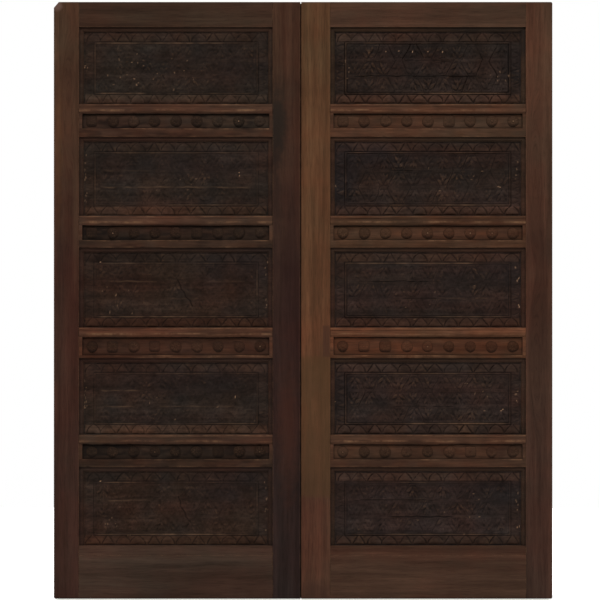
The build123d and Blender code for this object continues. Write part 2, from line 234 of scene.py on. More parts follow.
def timberMaterial(name, along, wear, carved=False):
    # along: the axis that the grain follows; carved: wear, dirt and painted shade come from marks
    # on the points
    look = timberLook
    material, recipe, shader, place = startMaterial(name)
    times, plus, remap, noise = recipe.times, recipe.plus, recipe.remap, recipe.noise
    wander = noise(place, look["wanderScale"], 2.0, 0.5).node.outputs["Color"]
    wander = recipe.vectors("SUBTRACT", wander, (0.5, 0.5, 0.5))
    moved = recipe.vectors("MULTIPLY_ADD", wander, (look["wander"],) * 3, place)
    for arch in arches.get(name, ()):
        moved = archedGrain(recipe, moved, arch)
    stretch = [1.0, 1.0, 1.0]
    stretch["xyz".index(along)] = look["grainStretch"]
    grain = recipe.vectors("MULTIPLY", moved, stretch)
    band = noise(grain, look["bandScale"], 3.0, 0.5, 0.6)
    streak = noise(grain, look["streakScale"], 5.0, 0.6)
    pores = remap(noise(grain, look["poreScale"], 2.0, 0.5), 0.36, 0.47)
    blotch = noise(place, look["blotchScale"], 4.0, 0.6)

    parts = recipe.add("SeparateXYZ", {0: place}).outputs
    height = plus(
        remap(parts["Z"], 0.0, look["doorHeight"]), recipe.sums("MULTIPLY_ADD", blotch, 0.5, -0.25)
    )
    ramp = recipe.add("ValToRGB", {"Fac": height})
    foot, middle, top = [tone(*each) for each in timberTones.get(name, timberTones["frame"])]
    steps = ramp.color_ramp.elements
    steps[0].position, steps[0].color = 0.12, foot
    steps[1].position, steps[1].color = 0.93, top
    steps.new(0.5).color = middle

    bands, streaks = look["bandContrast"], look["streakContrast"]
    shade = times(
        remap(band, 0.32, 0.68, 1 - bands, 1 + bands),
        remap(streak, 0.3, 0.7, 1 - streaks, 1 + streaks),
    )
    shade = times(shade, remap(pores, 0.0, 1.0, 0.78, 1.0))
    shade = times(shade, remap(blotch, 0.3, 0.7, 0.86, 1.14))
    colour = recipe.shade(ramp.outputs["Color"], shade)
    hue = plus(noise(grain, look["hueScale"], 3.0, 0.5), noise(place, look["hueBlotch"], 3.0, 0.6))
    tint = recipe.blend(remap(hue, 0.84, 1.16), look["redShift"], look["oliveShift"])
    colour = recipe.vectors("MULTIPLY", colour, tint)
    torn = noise(place, look["tornScale"], 4.0, 0.6)
    for spot in stainsAndShade.get(name, ()):
        colour = stainedAndShaded(recipe, colour, parts, torn, spot)

    if carved:
        colour = recipe.shade(colour, recipe.mark("tint"))
        warm = remap(recipe.mark("warm"), -1.0, 1.0)
        warmth = recipe.blend(warm, look["coolShift"], look["warmShift"])
        colour = recipe.vectors("MULTIPLY", colour, warmth)
        worn, shadeAndDirt = recipe.mark("worn"), recipe.mark("shadeAndDirt")
    else:
        worn = remap(recipe.flatness(look["wearRadius"]), 0.995, 0.9)
        # Painted shade: ambient occlusion darkens the plain pieces in corners and between parts
        hollow = recipe.add("AmbientOcclusion", {"Distance": look["paintedShadeReach"]}, samples=6)
        shadeAndDirt = remap(hollow.outputs["AO"], 0.85, 0.25)
    worn = times(worn, remap(noise(place, look["rubbedScale"], 4.0, 0.65), 0.38, 0.62))
    colour = recipe.blend(times(worn, wear, clamp=True), colour, look["wearTone"])
    # Painted shade, and on the carved pieces dirt as well, darkens the colour
    shadeAndDirt = times(shadeAndDirt, 0.8 if carved else 0.9, clamp=True)
    colour = recipe.blend(shadeAndDirt, colour, look["shadeAndDirtTone"])
    if carved:
        colour = recipe.blend(recipe.mark("speck"), colour, look["speckTone"])

    rough = remap(streak, 0.3, 0.7, *look["roughness"])
    relief = plus(times(streak, 0.6), times(pores, 0.4))
    recipe.finish(shader, colour, rough, relief, 0.5, look["bumpDistance"])
    shader.inputs["Specular IOR Level"].default_value = look["specular"]
    return material


ironLook = {
    "dark": tone(44, 40, 38),
    "rust": tone(62, 40, 29),
    "worn": tone(86, 82, 78),
    "rustScale": 75.0,
    "fineScale": 260.0,
    "edgeRadius": 0.0012,
    "roughness": (0.42, 0.72),
    "bumpDistance": 0.0004,
}


def ironMaterial(name):
    look = ironLook
    material, recipe, shader, place = startMaterial(name)
    rust = recipe.remap(recipe.noise(place, look["rustScale"], 6.0, 0.7), 0.44, 0.68)
    fine = recipe.noise(place, look["fineScale"], 3.0, 0.6)
    edge = recipe.remap(recipe.flatness(look["edgeRadius"]), 0.99, 0.85)
    edge = recipe.times(edge, recipe.remap(fine, 0.35, 0.6))
    colour = recipe.blend(rust, look["dark"], look["rust"])
    colour = recipe.blend(edge, colour, look["worn"])
    rough = recipe.remap(fine, 0.3, 0.7, *look["roughness"])
    recipe.finish(shader, colour, rough, fine, 0.35, look["bumpDistance"])
    recipe.tree.links.new(recipe.remap(rust, 0.0, 1.0, 0.85, 0.1), shader.inputs["Metallic"])
    return material


# Tones run from the foot of the door up to its top
timberTones = {
    "left_hinge_stile": ((56, 38, 32), (60, 37, 30), (68, 48, 36)),
    "left_meeting_stile": ((43, 33, 31), (49, 31, 27), (69, 46, 35)),
    "right_meeting_stile": ((76, 50, 39), (91, 58, 40), (87, 61, 42)),
    "right_hinge_stile": ((62, 43, 36), (67, 44, 35), (75, 51, 39)),
    "left_rails": ((64, 48, 40), (64, 45, 36), (56, 40, 31)),
    "right_rails": ((69, 47, 37), (76, 51, 38), (72, 50, 39)),
    "left_friezes": ((62, 45, 36), (70, 47, 37), (66, 47, 37)),
    "right_friezes": ((70, 48, 38), (80, 54, 40), (74, 52, 40)),
    "left_strips": ((46, 33, 28), (49, 33, 28), (51, 37, 30)),
    "right_strips": ((50, 36, 29), (54, 37, 30), (54, 40, 31)),
    "left_carving": ((45, 35, 31), (43, 33, 29), (41, 33, 29)),
    "right_carving": ((44, 35, 33), (44, 34, 31), (41, 32, 29)),
    "frame": ((52, 37, 29), (58, 40, 31), (60, 42, 32)),
}
# Stains that time has left, and patches of painted shade under the rails: middle and half size (x
# and z in metres), how soft and how ragged the edge is, strength, tone, and True for a square one
stainsAndShade = {
    "left_hinge_stile": (
        ((-0.879, 2.125), (0.017, 0.018), 0.35, 0.5, 0.75, (106, 82, 72)),
        ((-0.876, 1.620), (0.012, 0.220), 0.6, 0.8, 0.35, (92, 58, 34)),
        ((-0.812, 1.420), (0.010, 0.240), 0.6, 0.7, 0.3, (84, 62, 46)),
        ((-0.850, 1.230), (0.034, 0.070), 0.6, 0.8, 0.35, (46, 28, 24)),
    ),
    "left_meeting_stile": (
        ((-0.096, 1.700), (0.036, 0.125), 0.5, 0.7, 0.85, (36, 30, 25)),
        ((-0.098, 1.440), (0.018, 0.200), 0.6, 0.7, 0.45, (34, 24, 21)),
        ((-0.040, 1.120), (0.030, 0.420), 0.6, 0.6, 0.35, (40, 22, 20)),
        ((-0.055, 0.620), (0.030, 0.220), 0.6, 0.8, 0.35, (74, 42, 30)),
    ),
    "right_meeting_stile": (
        ((0.083, 0.925), (0.0125, 0.056), 0.04, 0.05, 0.6, (66, 43, 33), True),
        ((0.044, 0.620), (0.060, 0.250), 0.03, 0.02, 0.45, (76, 56, 34), True),
        ((0.045, 0.020), (0.060, 0.045), 0.4, 0.4, 0.5, (56, 38, 31)),
    ),
    # Both are painted shade under the rails, over the top strips of panels 3 and 5
    "left_strips": (
        ((-0.150, 1.250), (0.080, 0.020), 0.5, 0.5, 0.5, (34, 27, 25)),
        ((-0.150, 0.470), (0.080, 0.020), 0.5, 0.5, 0.5, (34, 27, 25)),
    ),
    # The second is painted shade under the top rail, over the top strip of panel 1
    "right_strips": (
        ((0.785, 1.995), (0.018, 0.055), 0.35, 0.4, 0.7, (30, 25, 23)),
        ((0.650, 2.042), (0.170, 0.014), 0.4, 0.4, 0.6, (31, 26, 23)),
    ),
    # All but the small square one are painted shade under the rails, over the upper parts of the
    # panels
    "left_carving": (
        ((-0.300, 1.930), (0.170, 0.080), 0.5, 0.5, 0.4, (36, 30, 28)),
        ((-0.400, 1.560), (0.180, 0.050), 0.5, 0.6, 0.4, (32, 28, 28)),
        ((-0.400, 0.780), (0.180, 0.050), 0.5, 0.6, 0.4, (32, 28, 28)),
        ((-0.350, 1.425), (0.024, 0.015), 0.2, 0.3, 0.5, (30, 27, 26), True),
        ((-0.240, 1.190), (0.150, 0.060), 0.5, 0.6, 0.5, (32, 27, 27)),
        ((-0.240, 0.405), (0.150, 0.060), 0.5, 0.6, 0.5, (32, 27, 27)),
    ),
    # The wide patches over the upper parts of panels 2, 3 and 5 are painted shade under the rails
    "right_carving": (
        ((0.765, 1.940), (0.045, 0.130), 0.4, 0.5, 0.6, (28, 25, 24)),
        ((0.130, 1.520), (0.060, 0.100), 0.4, 0.5, 0.75, (31, 27, 27)),
        ((0.270, 1.590), (0.160, 0.030), 0.5, 0.6, 0.5, (32, 28, 28)),
        ((0.130, 0.745), (0.055, 0.080), 0.4, 0.5, 0.75, (31, 27, 27)),
        ((0.700, 1.170), (0.120, 0.050), 0.5, 0.6, 0.45, (30, 26, 26)),
        ((0.690, 0.390), (0.130, 0.055), 0.5, 0.6, 0.45, (30, 26, 26)),
    ),
}
# Where the figure of a stile stands up in arches: middle (x and z in metres), width and height
arches = {
    "right_hinge_stile": (((0.830, 1.520), 0.036, 0.330), ((0.836, 0.860), 0.032, 0.300)),
    "left_hinge_stile": (((-0.838, 1.780), 0.030, 0.260),),
}
# Axis of the grain, wear, and whether the piece is carved
leafFinishes = {
    "hinge_stile": ("z", 0.5, False),
    "meeting_stile": ("z", 0.5, False),
    "rails": ("x", 0.5, False),
    "friezes": ("x", 0.85, True),
    "strips": ("x", 0.25, False),
    "carving": ("x", 0.42, True),
}
materials = {"iron": ironMaterial("iron")}
for leafName in leafNames:
    for finish, settings in leafFinishes.items():
        key = f"{leafName}_{finish}"
        materials[key] = timberMaterial(key, *settings)
for key, along in (("frame", "z"), ("cross_frame", "x")):
    materials[key] = timberMaterial(key, along, 0.4)
print("materials made:", len(materials))


def materialFor(nodeName):
    whole = {
        "head": "cross_frame", "sill": "cross_frame", "left_jamb": "frame", "right_jamb": "frame",
    }
    if nodeName in whole:
        return materials[whole[nodeName]]
    leafName = nodeName.split("_")[0]
    for word, finish in (
        ("hinge_stile", "hinge_stile"), ("meeting_stile", "meeting_stile"), ("strips", "strips"),
        ("frieze", "friezes"), ("rail", "rails"), ("panel", "carving"),
    ):
        if word in nodeName:
            return materials[f"{leafName}_{finish}"]
    return materials["iron"]


for nodeName, cadNode in frame["nodes"].items():
    cadNode.data.materials.clear()
    cadNode.data.materials.append(materialFor(nodeName))
print("materials given to the carried-over nodes")


def addPiece(name, mesh, material, body):
    piece = bpy.data.objects.new(name, mesh)
    bpy.context.scene.collection.objects.link(piece)
    mesh.materials.append(material)
    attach(piece, body)
    return piece


def smoothFaces(mesh, sharpAngle):
    mesh.shade_smooth()
    mesh.set_sharp_from_angle(angle=math.radians(sharpAngle))


def closeRings(build, rings):
    # Walls between neighbouring rings of points, and a face over each end
    for lower, upper in zip(rings, rings[1:]):
        for place in range(len(lower)):
            following = (place + 1) % len(lower)
            build.faces.new((lower[place], lower[following], upper[following], upper[place]))
    build.faces.new(rings[-1])
    build.faces.new(tuple(reversed(rings[0])))


def meshOf(name, build):
    bmesh.ops.recalc_face_normals(build, faces=build.faces)
    mesh = bpy.data.meshes.new(name)
    build.to_mesh(mesh)
    build.free()
    return mesh


# Carved panels: a grid of points over each panel, raised and cut by the pattern

panelLook = {
    "gridStep": 2.5,  # mm
    "plainEdge": 14.0,  # behind the strips, with nothing to carve
    "borderStart": 21.0,  # from the sides and the top of the opening
    "borderFoot": 4.0,  # from the bottom of the opening
    "borderWidth": 31.0,
    "borderPitch": 53.6,
    "sidePitch": 26.0,
    "beadStart": 1.4,  # from the border
    "beadWidth": 5.0,
    "beadHeight": 3.8,
    "beadRoom": 8.4,  # from the border to the field
    "rows": 3,
    "motifPitch": 53.6,
    "lean": 14.0,  # how far a cut between motifs leans over half a row
    "cutWidth": 2.6,
    "cutDepth": 2.6,
    "rowCutDepth": 3.4,
    "crackDepth": 3.4,
    "groundNoise": {"left": 1.0, "right": 0.75},
    "fieldTint": {"left": 0.92, "right": 0.95},
    "warp": 2.2,  # how far the hand strayed from the pattern
    "paleLineHalf": 2.0,
    "darkLineHalf": 3.2,
    "lineBrightness": 0.24,
    "lineEnd": 0.06,  # how softly a line ends, beside half the field
    "lowest": -7.5,
    "highest": 5.5,
    "thickness": 20.0,
    "setback": 16.0,
    "sharpAngle": 62,  # degrees; edges up to this angle look rounded
}
# How time has left each panel, with the light painted on its borders, from the top one down. Relief
# and cuts: share of the first depth.
# Borders: brightness at the top left and right and at the foot left and right: their own tone with
# painted light, the feet mostly painted brighter as lit from above. Warm: how red the top border,
# the one at the foot and the field are. Lines: which, start, end, strength.
# Nubs: place in the field, spread, count, how upright they lie, how pale they are.
panelStates = {
    ("left", 1): {
        "relief": 0.48, "cuts": 0.06, "borders": (1.05, 1, 2, 1.6), "warm": (0.5, 0.7, 0.18),
        "pale": (("top", -1, 0.75, 0.7), ("left", -1, 1, 0.5), ("foot", -1, -0.4, 0.8),
                 ("foot", 0.35, 0.95, 0.4)),
        "nubs": ((-0.45, -0.45, 0.3, 0.35, 13, 0.5, 0.6), (-0.45, 0.35, 0.3, 0.3, 6, 0.6, 0.4),
                 (0.05, -0.3, 0.12, 0.2, 4, 0.6, 0.5), (-1.13, -0.1, 0.01, 0.25, 4, 0.9, 0.6)),
    },
    ("left", 2): {
        "relief": 0.52, "cuts": 0.1, "borders": (1, 1.05, 1.65, 1.45), "warm": (0.3, 0.85, 0.16),
        "pale": (("lower", -0.9, 0.9, 0.6), ("upper", -0.9, -0.3, 0.3), ("foot", -0.1, 1, 0.5),
                 ("top", -0.8, 0.7, 0.3), ("left", -1, 1, 0.3)),
        "nubs": ((0.78, 0.15, 0.02, 0.05, 2, 0.5, 0.8), (-1.14, 0, 0.01, 0.5, 14, 1, 0.3),
                 (0.3, -0.3, 0.4, 0.3, 5, 0.2, 0.3)),
    },
    ("left", 3): {
        "relief": 0.55, "cuts": 0.12, "borders": (0.8, 1, 1.15, 1), "warm": (0.25, 1, 0.45),
        "pale": (("upper", -0.85, -0.25, 0.7), ("upper", 0.3, 0.85, 0.25),
                 ("lower", -0.1, 0.4, 0.3), ("foot", -0.95, 0.5, 0.9), ("top", -0.9, -0.5, 0.5),
                 ("right", -0.2, 0.8, 0.5)),
        "nubs": ((-0.95, 1.1, 0, 0, 1, 0, 1), (-0.75, -0.4, 0.12, 0.4, 8, 0.8, 0.4),
                 (1.13, 0, 0.01, 0.5, 8, 1, 0.5)),
    },
    ("left", 4): {
        "relief": 0.52, "cuts": 0.1, "borders": (1, 1.07, 1.65, 1.45), "warm": (0.3, 0.85, 0.16),
        "pale": (("upper", -0.95, -0.4, 0.5), ("lower", -0.9, -0.55, 0.6),
                 ("lower", -0.2, 0.7, 0.4), ("foot", -1, -0.5, 0.7), ("foot", 0.3, 0.9, 0.5),
                 ("top", -0.7, 0.5, 0.3)),
        "nubs": ((0.78, 0.1, 0.02, 0.05, 1, 0.5, 0.7), (-1.14, 0, 0.01, 0.5, 14, 1, 0.3),
                 (0.2, -0.3, 0.4, 0.3, 5, 0.2, 0.3)),
    },
    ("left", 5): {
        "relief": 0.58, "cuts": 0.12, "borders": (0.82, 1, 1.15, 1), "warm": (0.25, 1, 0.45),
        "pale": (("upper", -0.85, -0.35, 0.6), ("foot", -1, 0.6, 0.9), ("top", -0.9, -0.6, 0.5),
                 ("right", -0.1, 0.7, 0.4)),
        "nubs": ((-0.95, 1.1, 0, 0, 1, 0, 1), (-0.75, -0.4, 0.12, 0.4, 9, 0.8, 0.4),
                 (1.13, 0, 0.01, 0.5, 8, 1, 0.5)),
    },
    ("right", 1): {
        "relief": 1, "cuts": 1.15, "borders": (1.9, 0.95, 1.6, 1.7), "warm": (0.7, 0.75, 0.1),
        "pale": (("foot", -0.1, 0.95, 0.9), ("left", -1, 1, 0.3)),
        "dark": (("lower", -0.9, 0.6, 1), ("upper", -0.3, 0.3, 0.4)),
        "nubs": ((-0.52, 0.7, 0, 0, 1, 1, 0.9), (-0.36, 0.71, 0, 0, 1, 0.2, 1),
                 (-0.19, 0.69, 0, 0, 1, 0.5, 0.9), (0, 0.7, 0, 0, 1, 0.1, 0.9),
                 (0.18, 0.68, 0, 0, 1, 0.1, 0.8), (0.88, -0.5, 0.06, 0.3, 6, 1, 0.5),
                 (-1, 0, 0.02, 0.5, 6, 0.9, 0.4)),
    },
    ("right", 2): {
        "relief": 0.85, "cuts": 0.5, "borders": (1.35, 1.1, 1.35, 1.65), "warm": (0.45, 0.75, 0.14),
        "pale": (("foot", 0.2, 0.95, 0.9), ("top", -0.5, 0.5, 0.2)),
        "dark": (("upper", -0.5, 0.1, 0.4),),
        "nubs": ((-1.15, -0.2, 0.01, 0.15, 2, 0.3, 1), (0.88, -0.4, 0.03, 0.08, 2, 0.3, 0.9),
                 (0.3, 0.2, 0.3, 0.3, 5, 0.4, 0.4), (1.1, 0.1, 0.01, 0.4, 5, 0.9, 0.5)),
    },
    ("right", 3): {
        "relief": 0.75, "cuts": 0.36, "borders": (1.65, 1.4, 1.25, 1.25),
        "warm": (0.85, 0.95, 0.12),
        "pale": (("top", -1, 0.55, 0.7), ("foot", 0.1, 0.95, 0.6), ("lower", 0.2, 0.8, 0.3)),
        "dark": (("upper", -0.7, 0, 0.6), ("lower", -0.3, 0.1, 0.5)),
        "nubs": ((1.12, 0, 0.02, 0.6, 7, 0.9, 0.7), (0.2, -0.1, 0.4, 0.4, 7, 0.1, 0.4)),
    },
    ("right", 4): {
        "relief": 0.88, "cuts": 0.5, "borders": (1.3, 1.05, 1.3, 1.65), "warm": (0.45, 0.75, 0.14),
        "pale": (("foot", -0.3, 0.98, 0.9), ("top", -0.6, 0.4, 0.5)),
        "dark": (("lower", -0.4, 0.3, 0.4),),
        "nubs": ((-1.15, -0.15, 0.01, 0.12, 2, 0.3, 1), (0.9, -0.55, 0.04, 0.1, 2, 0.3, 0.9),
                 (0.7, 0.3, 0.2, 0.3, 6, 0.5, 0.4), (1.1, 0.2, 0.01, 0.5, 5, 0.9, 0.5)),
    },
    ("right", 5): {
        "relief": 0.8, "cuts": 0.42, "borders": (1.65, 1.35, 1.3, 1.3), "warm": (0.85, 0.95, 0.12),
        "pale": (("top", -0.4, 0, 0.3), ("foot", -0.5, 0.7, 0.6), ("lower", 0.3, 0.6, 0.3)),
        "dark": (("upper", -0.9, 0.1, 0.5), ("lower", -0.45, 0.3, 0.9)),
        "nubs": ((1.12, 0, 0.02, 0.6, 7, 0.9, 0.7), (0.3, -0.1, 0.4, 0.4, 7, 0.1, 0.4)),
    },
}
cracks = {  # mm from the middle of the panel
    "left_panel_3": ((6, 28), (15, 8), (17, -4), (30, -18), (34, -34), (50, -46), (58, -68)),
    "left_panel_5": ((8, 34), (16, 14), (16, -2), (30, -20), (36, -40), (54, -60)),
    "left_panel_1": ((-48, -34), (-42, -46)),
}


def latticeNoise(u, v, cell, rng):
    # Smooth random relief with features about one cell across
    x, y = (u - u.min()) / cell, (v - v.min()) / cell
    lattice = rng.uniform(-1, 1, (int(x.max()) + 3, int(y.max()) + 3))
    column, row = x.astype(int), y.astype(int)
    shareX, shareY = smoothStep(0, 1, x - column), smoothStep(0, 1, y - row)
    low = lattice[column, row] * (1 - shareX) + lattice[column + 1, row] * shareX
    high = lattice[column, row + 1] * (1 - shareX) + lattice[column + 1, row + 1] * shareX
    return low * (1 - shareY) + high * shareY


def leafShape(a, c, foot, tip, width):
    # Positive inside a leaf drawn from foot to tip, and the distance from its vein
    reachX, reachZ = tip[0] - foot[0], tip[1] - foot[1]
    length = np.hypot(reachX, reachZ)
    along = ((a - foot[0]) * reachX + (c - foot[1]) * reachZ) / length ** 2
    across = np.abs((a - foot[0]) * reachZ - (c - foot[1]) * reachX) / length
    inside = width * np.sin(math.pi * np.clip(along, 0, 1) ** 0.8) - across
    return np.where((along < 0) | (along > 1), -across - 1, inside), across


class CarvedField:
    # Rows of leaning motifs; neighbours stand on opposite edges of their row
    def __init__(self, halfWidth, halfHeight, rng):
        look = panelLook
        inset = look["borderWidth"] + look["beadRoom"]
        self.borderLength = halfWidth - look["borderStart"]
        self.halfWidth = self.borderLength - inset
        self.halfHeight = halfHeight - (look["borderStart"] + look["borderFoot"]) / 2 - inset
        self.middle = (look["borderFoot"] - look["borderStart"]) / 2
        self.rowHeight = 2 * self.halfHeight / look["rows"]
        self.count = max(4, round(2 * self.halfWidth / look["motifPitch"]))
        self.step = 2 * self.halfWidth / self.count
        cuts, motifs = (look["rows"], self.count + 1), (look["rows"], self.count)
        self.shift = rng.uniform(-1.6, 1.6, cuts)
        self.lean = look["lean"] * rng.uniform(0.8, 1.2, cuts)
        self.strength = rng.uniform(0.6, 1.05, motifs)
        self.tips = rng.uniform(-2.6, 2.6, (*motifs, 5, 2))
        self.nub = rng.uniform(-1.5, 1.5, (*motifs, 2))

    def relief(self, u, v):
        look = panelLook
        half = self.rowHeight / 2
        row = ((v + self.halfHeight) / self.rowHeight).astype(int)
        row = np.clip(row, 0, look["rows"] - 1)
        b = v + self.halfHeight - (row + 0.5) * self.rowHeight
        nearest = np.clip(np.round((u + self.halfWidth) / self.step).astype(int), 0, self.count)
        lean = self.lean[row, nearest] * np.where((row + nearest) % 2 == 0, 1, -1) * b / half
        shift = np.where(
            (nearest > 0) & (nearest < self.count), self.shift[row, nearest] + lean, 0
        )
        boundary = -self.halfWidth + nearest * self.step + shift
        column = np.clip(np.where(u < boundary, nearest - 1, nearest), 0, self.count - 1)
        cut = np.abs(u - boundary) / math.hypot(1, look["lean"] / half)
        rowCut = half - np.abs(b)
        # In this motif's own direction: foot at the bottom, tip at the top
        upright = np.where((row + column) % 2 == 0, -1, 1)
        middle = -self.halfWidth + (column + 0.5) * self.step
        a = u - middle - self.nub[row, column, 0]
        c = b * upright - self.nub[row, column, 1]
        side = self.step * 0.44
        edge = np.minimum(cut, rowCut)
        height = 1.5 * smoothStep(0.3, 3.6, edge)
        inner = smoothStep(2.5, 5.5, edge)
        leaves, vein = np.full_like(u, -9.0), np.full_like(u, 9.0)
        shapes = (
            ((0, -0.5 * half), (0, 0.74 * half), 6.2),
            ((-2.5, -0.66 * half), (-side, 0.05 * half), 6.0),
            ((2.5, -0.66 * half), (side, 0.05 * half), 6.0),
            ((-2.0, -0.05 * half), (-side * 0.6, 0.72 * half), 4.4),
            ((2.0, -0.05 * half), (side * 0.6, 0.72 * half), 4.4),
        )
        for leaf, (foot, tip, width) in enumerate(shapes):
            bent = self.tips[row, column, leaf]
            reach = (tip[0] + bent[..., 0], tip[1] + bent[..., 1])
            shape, across = leafShape(a, c, foot, reach, width)
            closer = shape > leaves
            leaves, vein = np.where(closer, shape, leaves), np.where(closer, across, vein)
        height -= 2.7 * inner * fadeOut(-1.6, 0.6, leaves)
        height += 2.3 * smoothStep(-0.5, 4.0, leaves)
        height -= 1.5 * smoothStep(0.5, 1.8, leaves) * fadeOut(0.2, 1.9, vein)
        nubAway = np.hypot(a, c + 0.05 * half)
        height += 1.8 * np.sqrt(np.clip(1 - (nubAway / 3.8) ** 2, 0, 1))
        height *= self.strength[row, column]
        cuts = look["cutDepth"] * fadeOut(0.0, look["cutWidth"], cut)
        rowCuts = look["rowCutDepth"] * fadeOut(0.0, look["cutWidth"], rowCut)
        return height, cuts, rowCuts


def borderRelief(s, t, halfLength, offset, pitch):
    # s runs along the border, t from the edge that the mounds stand on; all stand upright
    width = panelLook["borderWidth"]
    count = max(2, round(2 * halfLength / pitch))
    step = 2 * halfLength / count
    index = np.clip(np.floor((s + halfLength) / step), 0, count - 1)
    local = s + halfLength - (index + 0.5) * step
    wobble = 0.05 * step * np.sin(index * 2.7 + offset)
    swell = 1 + 0.16 * np.sin(index * 4.3 + 2 * offset)
    roundness = 1.7 + 0.8 * np.sin(index * 1.9 + offset)
    half = 0.4 * step * swell * (1 - np.clip(t / width, 0, 1) ** roundness) + 0.07 * step
    away = (np.abs(local - wobble) - half) / 1.2
    edge = np.minimum(np.abs(away), np.minimum(t, width - t) + 0.5)
    height = (2.0 + 0.9 * np.sin(index * 3.1 + offset)) * smoothStep(0.4, 5.0, edge)
    nub = np.hypot(local - wobble, t - 0.36 * width)
    height += np.where(away < 0, 1.2 * smoothStep(12, 2, nub), 0.0)
    return height, 2.3 * fadeOut(0.0, 2.3, np.abs(away))


def crackDepth(u, v, line):
    # How deep a drying crack along this line of points cuts
    depth = np.zeros_like(u)
    for (x0, y0), (x1, y1) in zip(line, line[1:]):
        length = math.hypot(x1 - x0, y1 - y0)
        along = np.clip(((u - x0) * (x1 - x0) + (v - y0) * (y1 - y0)) / length ** 2, 0, 1)
        away = np.hypot(u - x0 - along * (x1 - x0), v - y0 - along * (y1 - y0))
        depth = np.maximum(depth, panelLook["crackDepth"] * fadeOut(0.3, 2.5, away))
    return depth


def lineShare(lines, u, v, edge, field, half):
    # How strongly the listed lines mark each point; their ends are soft
    look = panelLook
    bead = edge - look["borderWidth"] - look["beadStart"] - look["beadWidth"] / 2
    across, up = u / field.halfWidth, (v - field.middle) / field.halfHeight
    places = {  # distance from the line, place along it and where it may run
        "upper": ((up - 1 / 3) * field.halfHeight, across, np.abs(across) < 1),
        "lower": ((up + 1 / 3) * field.halfHeight, across, np.abs(across) < 1),
        "top": (bead, across, up > 1),
        "foot": (bead, across, up < -1),
        "left": (bead, up, across < -1),
        "right": (bead, up, across > 1),
    }
    share, soft = np.zeros_like(u), look["lineEnd"]
    for line, start, end, strength in lines:
        away, along, near = places[line]
        ends = smoothStep(start - soft, start + soft, along)
        ends = ends * fadeOut(end - soft, end + soft, along)
        share = np.maximum(share, near * ends * strength * bell(away, 0, half))
    return share


def panelRelief(u, v, inside, stray, field, offset, fades):
    # A fade is 1 where the carving is crisp and lower where hands and weather have softened it
    look = panelLook
    width, room = look["borderWidth"], look["beadRoom"]
    fade, cutFade, beadFade, dark = fades
    inX, inTop, inFoot, edge = inside
    inY = np.minimum(inTop, inFoot)
    rim = smoothStep(-2, 1, edge) * fadeOut(width + 6, width + 8, edge)
    height, cuts = np.zeros_like(u), np.zeros_like(u)

    length, pitch = field.borderLength, look["borderPitch"]
    top = borderRelief(u, width - inTop, length, offset, pitch)
    foot = borderRelief(u, inFoot, length, offset + 1.3, pitch)
    sides = borderRelief(
        v - field.middle, width - inX, field.halfHeight, offset + np.sign(u) + 2, look["sidePitch"]
    )
    across = (inY < width) & (inY >= 0) & (inX >= 0)
    down = (inX < width) & (inX >= 0) & (inY >= width)
    for chosen, (mounds, knifeCuts), rise, depth in (
        (across & (inTop < width), top, 1, 1),
        (across & (inFoot < width), foot, 1, 1),
        (down, sides, 0.6, 0.4),
    ):
        height[chosen] = rise * mounds[chosen]
        cuts[chosen] = depth * knifeCuts[chosen]

    bead = width + look["beadStart"] + look["beadWidth"] / 2
    rise = np.clip(1 - (np.abs(edge - bead) / (look["beadWidth"] / 2)) ** 2, 0, 1)
    height += look["beadHeight"] * np.sqrt(rise) * beadFade
    inField = edge > width + room
    fieldHeight, fieldCuts, rowCuts = field.relief(u + stray[0], v + stray[1] - field.middle)
    height[inField] = fieldHeight[inField]
    cuts[inField] = np.maximum(fieldCuts * cutFade, rowCuts * (0.1 + 0.9 * dark))[inField]
    cuts[~inField] *= (0.65 + 0.35 * fade)[~inField]
    height = height * fade - cuts
    # Knife lines round the border, the bead and the field
    height -= 2.5 * fadeOut(0.0, 1.8, np.abs(edge + 0.8))
    height -= (0.9 + 1.2 * fade) * fadeOut(0.0, 1.8, np.abs(edge - width))
    height -= (0.9 + 1.7 * cutFade) * fadeOut(0.0, 1.8, np.abs(edge - width - room + 0.6))
    return height, rim


def paleNubs(u, v, field, clusters, rng):
    # Small worn tips and scratches where the pale wood shows
    share = np.zeros_like(u)
    for across, up, spreadX, spreadY, count, upright, pale in clusters:
        for nub in range(count):
            x = (across + rng.normal(0, 1) * spreadX) * field.halfWidth
            y = (up + rng.normal(0, 1) * spreadY) * field.halfHeight + field.middle
            length, width = rng.uniform(1.6, 4.8), rng.uniform(1.1, 1.9)
            turn = rng.normal(math.pi / 2 if rng.uniform() < upright else 0.0, 0.25)
            along = (u - x) * math.cos(turn) + (v - y) * math.sin(turn)
            side = (v - y) * math.cos(turn) - (u - x) * math.sin(turn)
            away = np.hypot(along / length, side / width)
            shown = pale * rng.uniform(0.35, 1.0) if count > 1 else pale
            share = np.maximum(share, shown * fadeOut(0.6, 1.3, away))
    return share


def spread(values, passes):
    # Each value is evened out with its neighbours
    for turn in range(passes):
        padded = np.pad(values, 1, mode="edge")
        values = (
            padded[:-2, 1:-1] + padded[2:, 1:-1] + padded[1:-1, :-2] + padded[1:-1, 2:]
            + 2 * padded[1:-1, 1:-1]
        ) / 6
    return values


def giveMarks(mesh, marks):
    # Marks are values at the points, which the timber material reads
    for label, values in marks.items():
        layer = mesh.attributes.new(label, "FLOAT", "POINT")
        layer.data.foreach_set("value", np.asarray(values, np.float32))


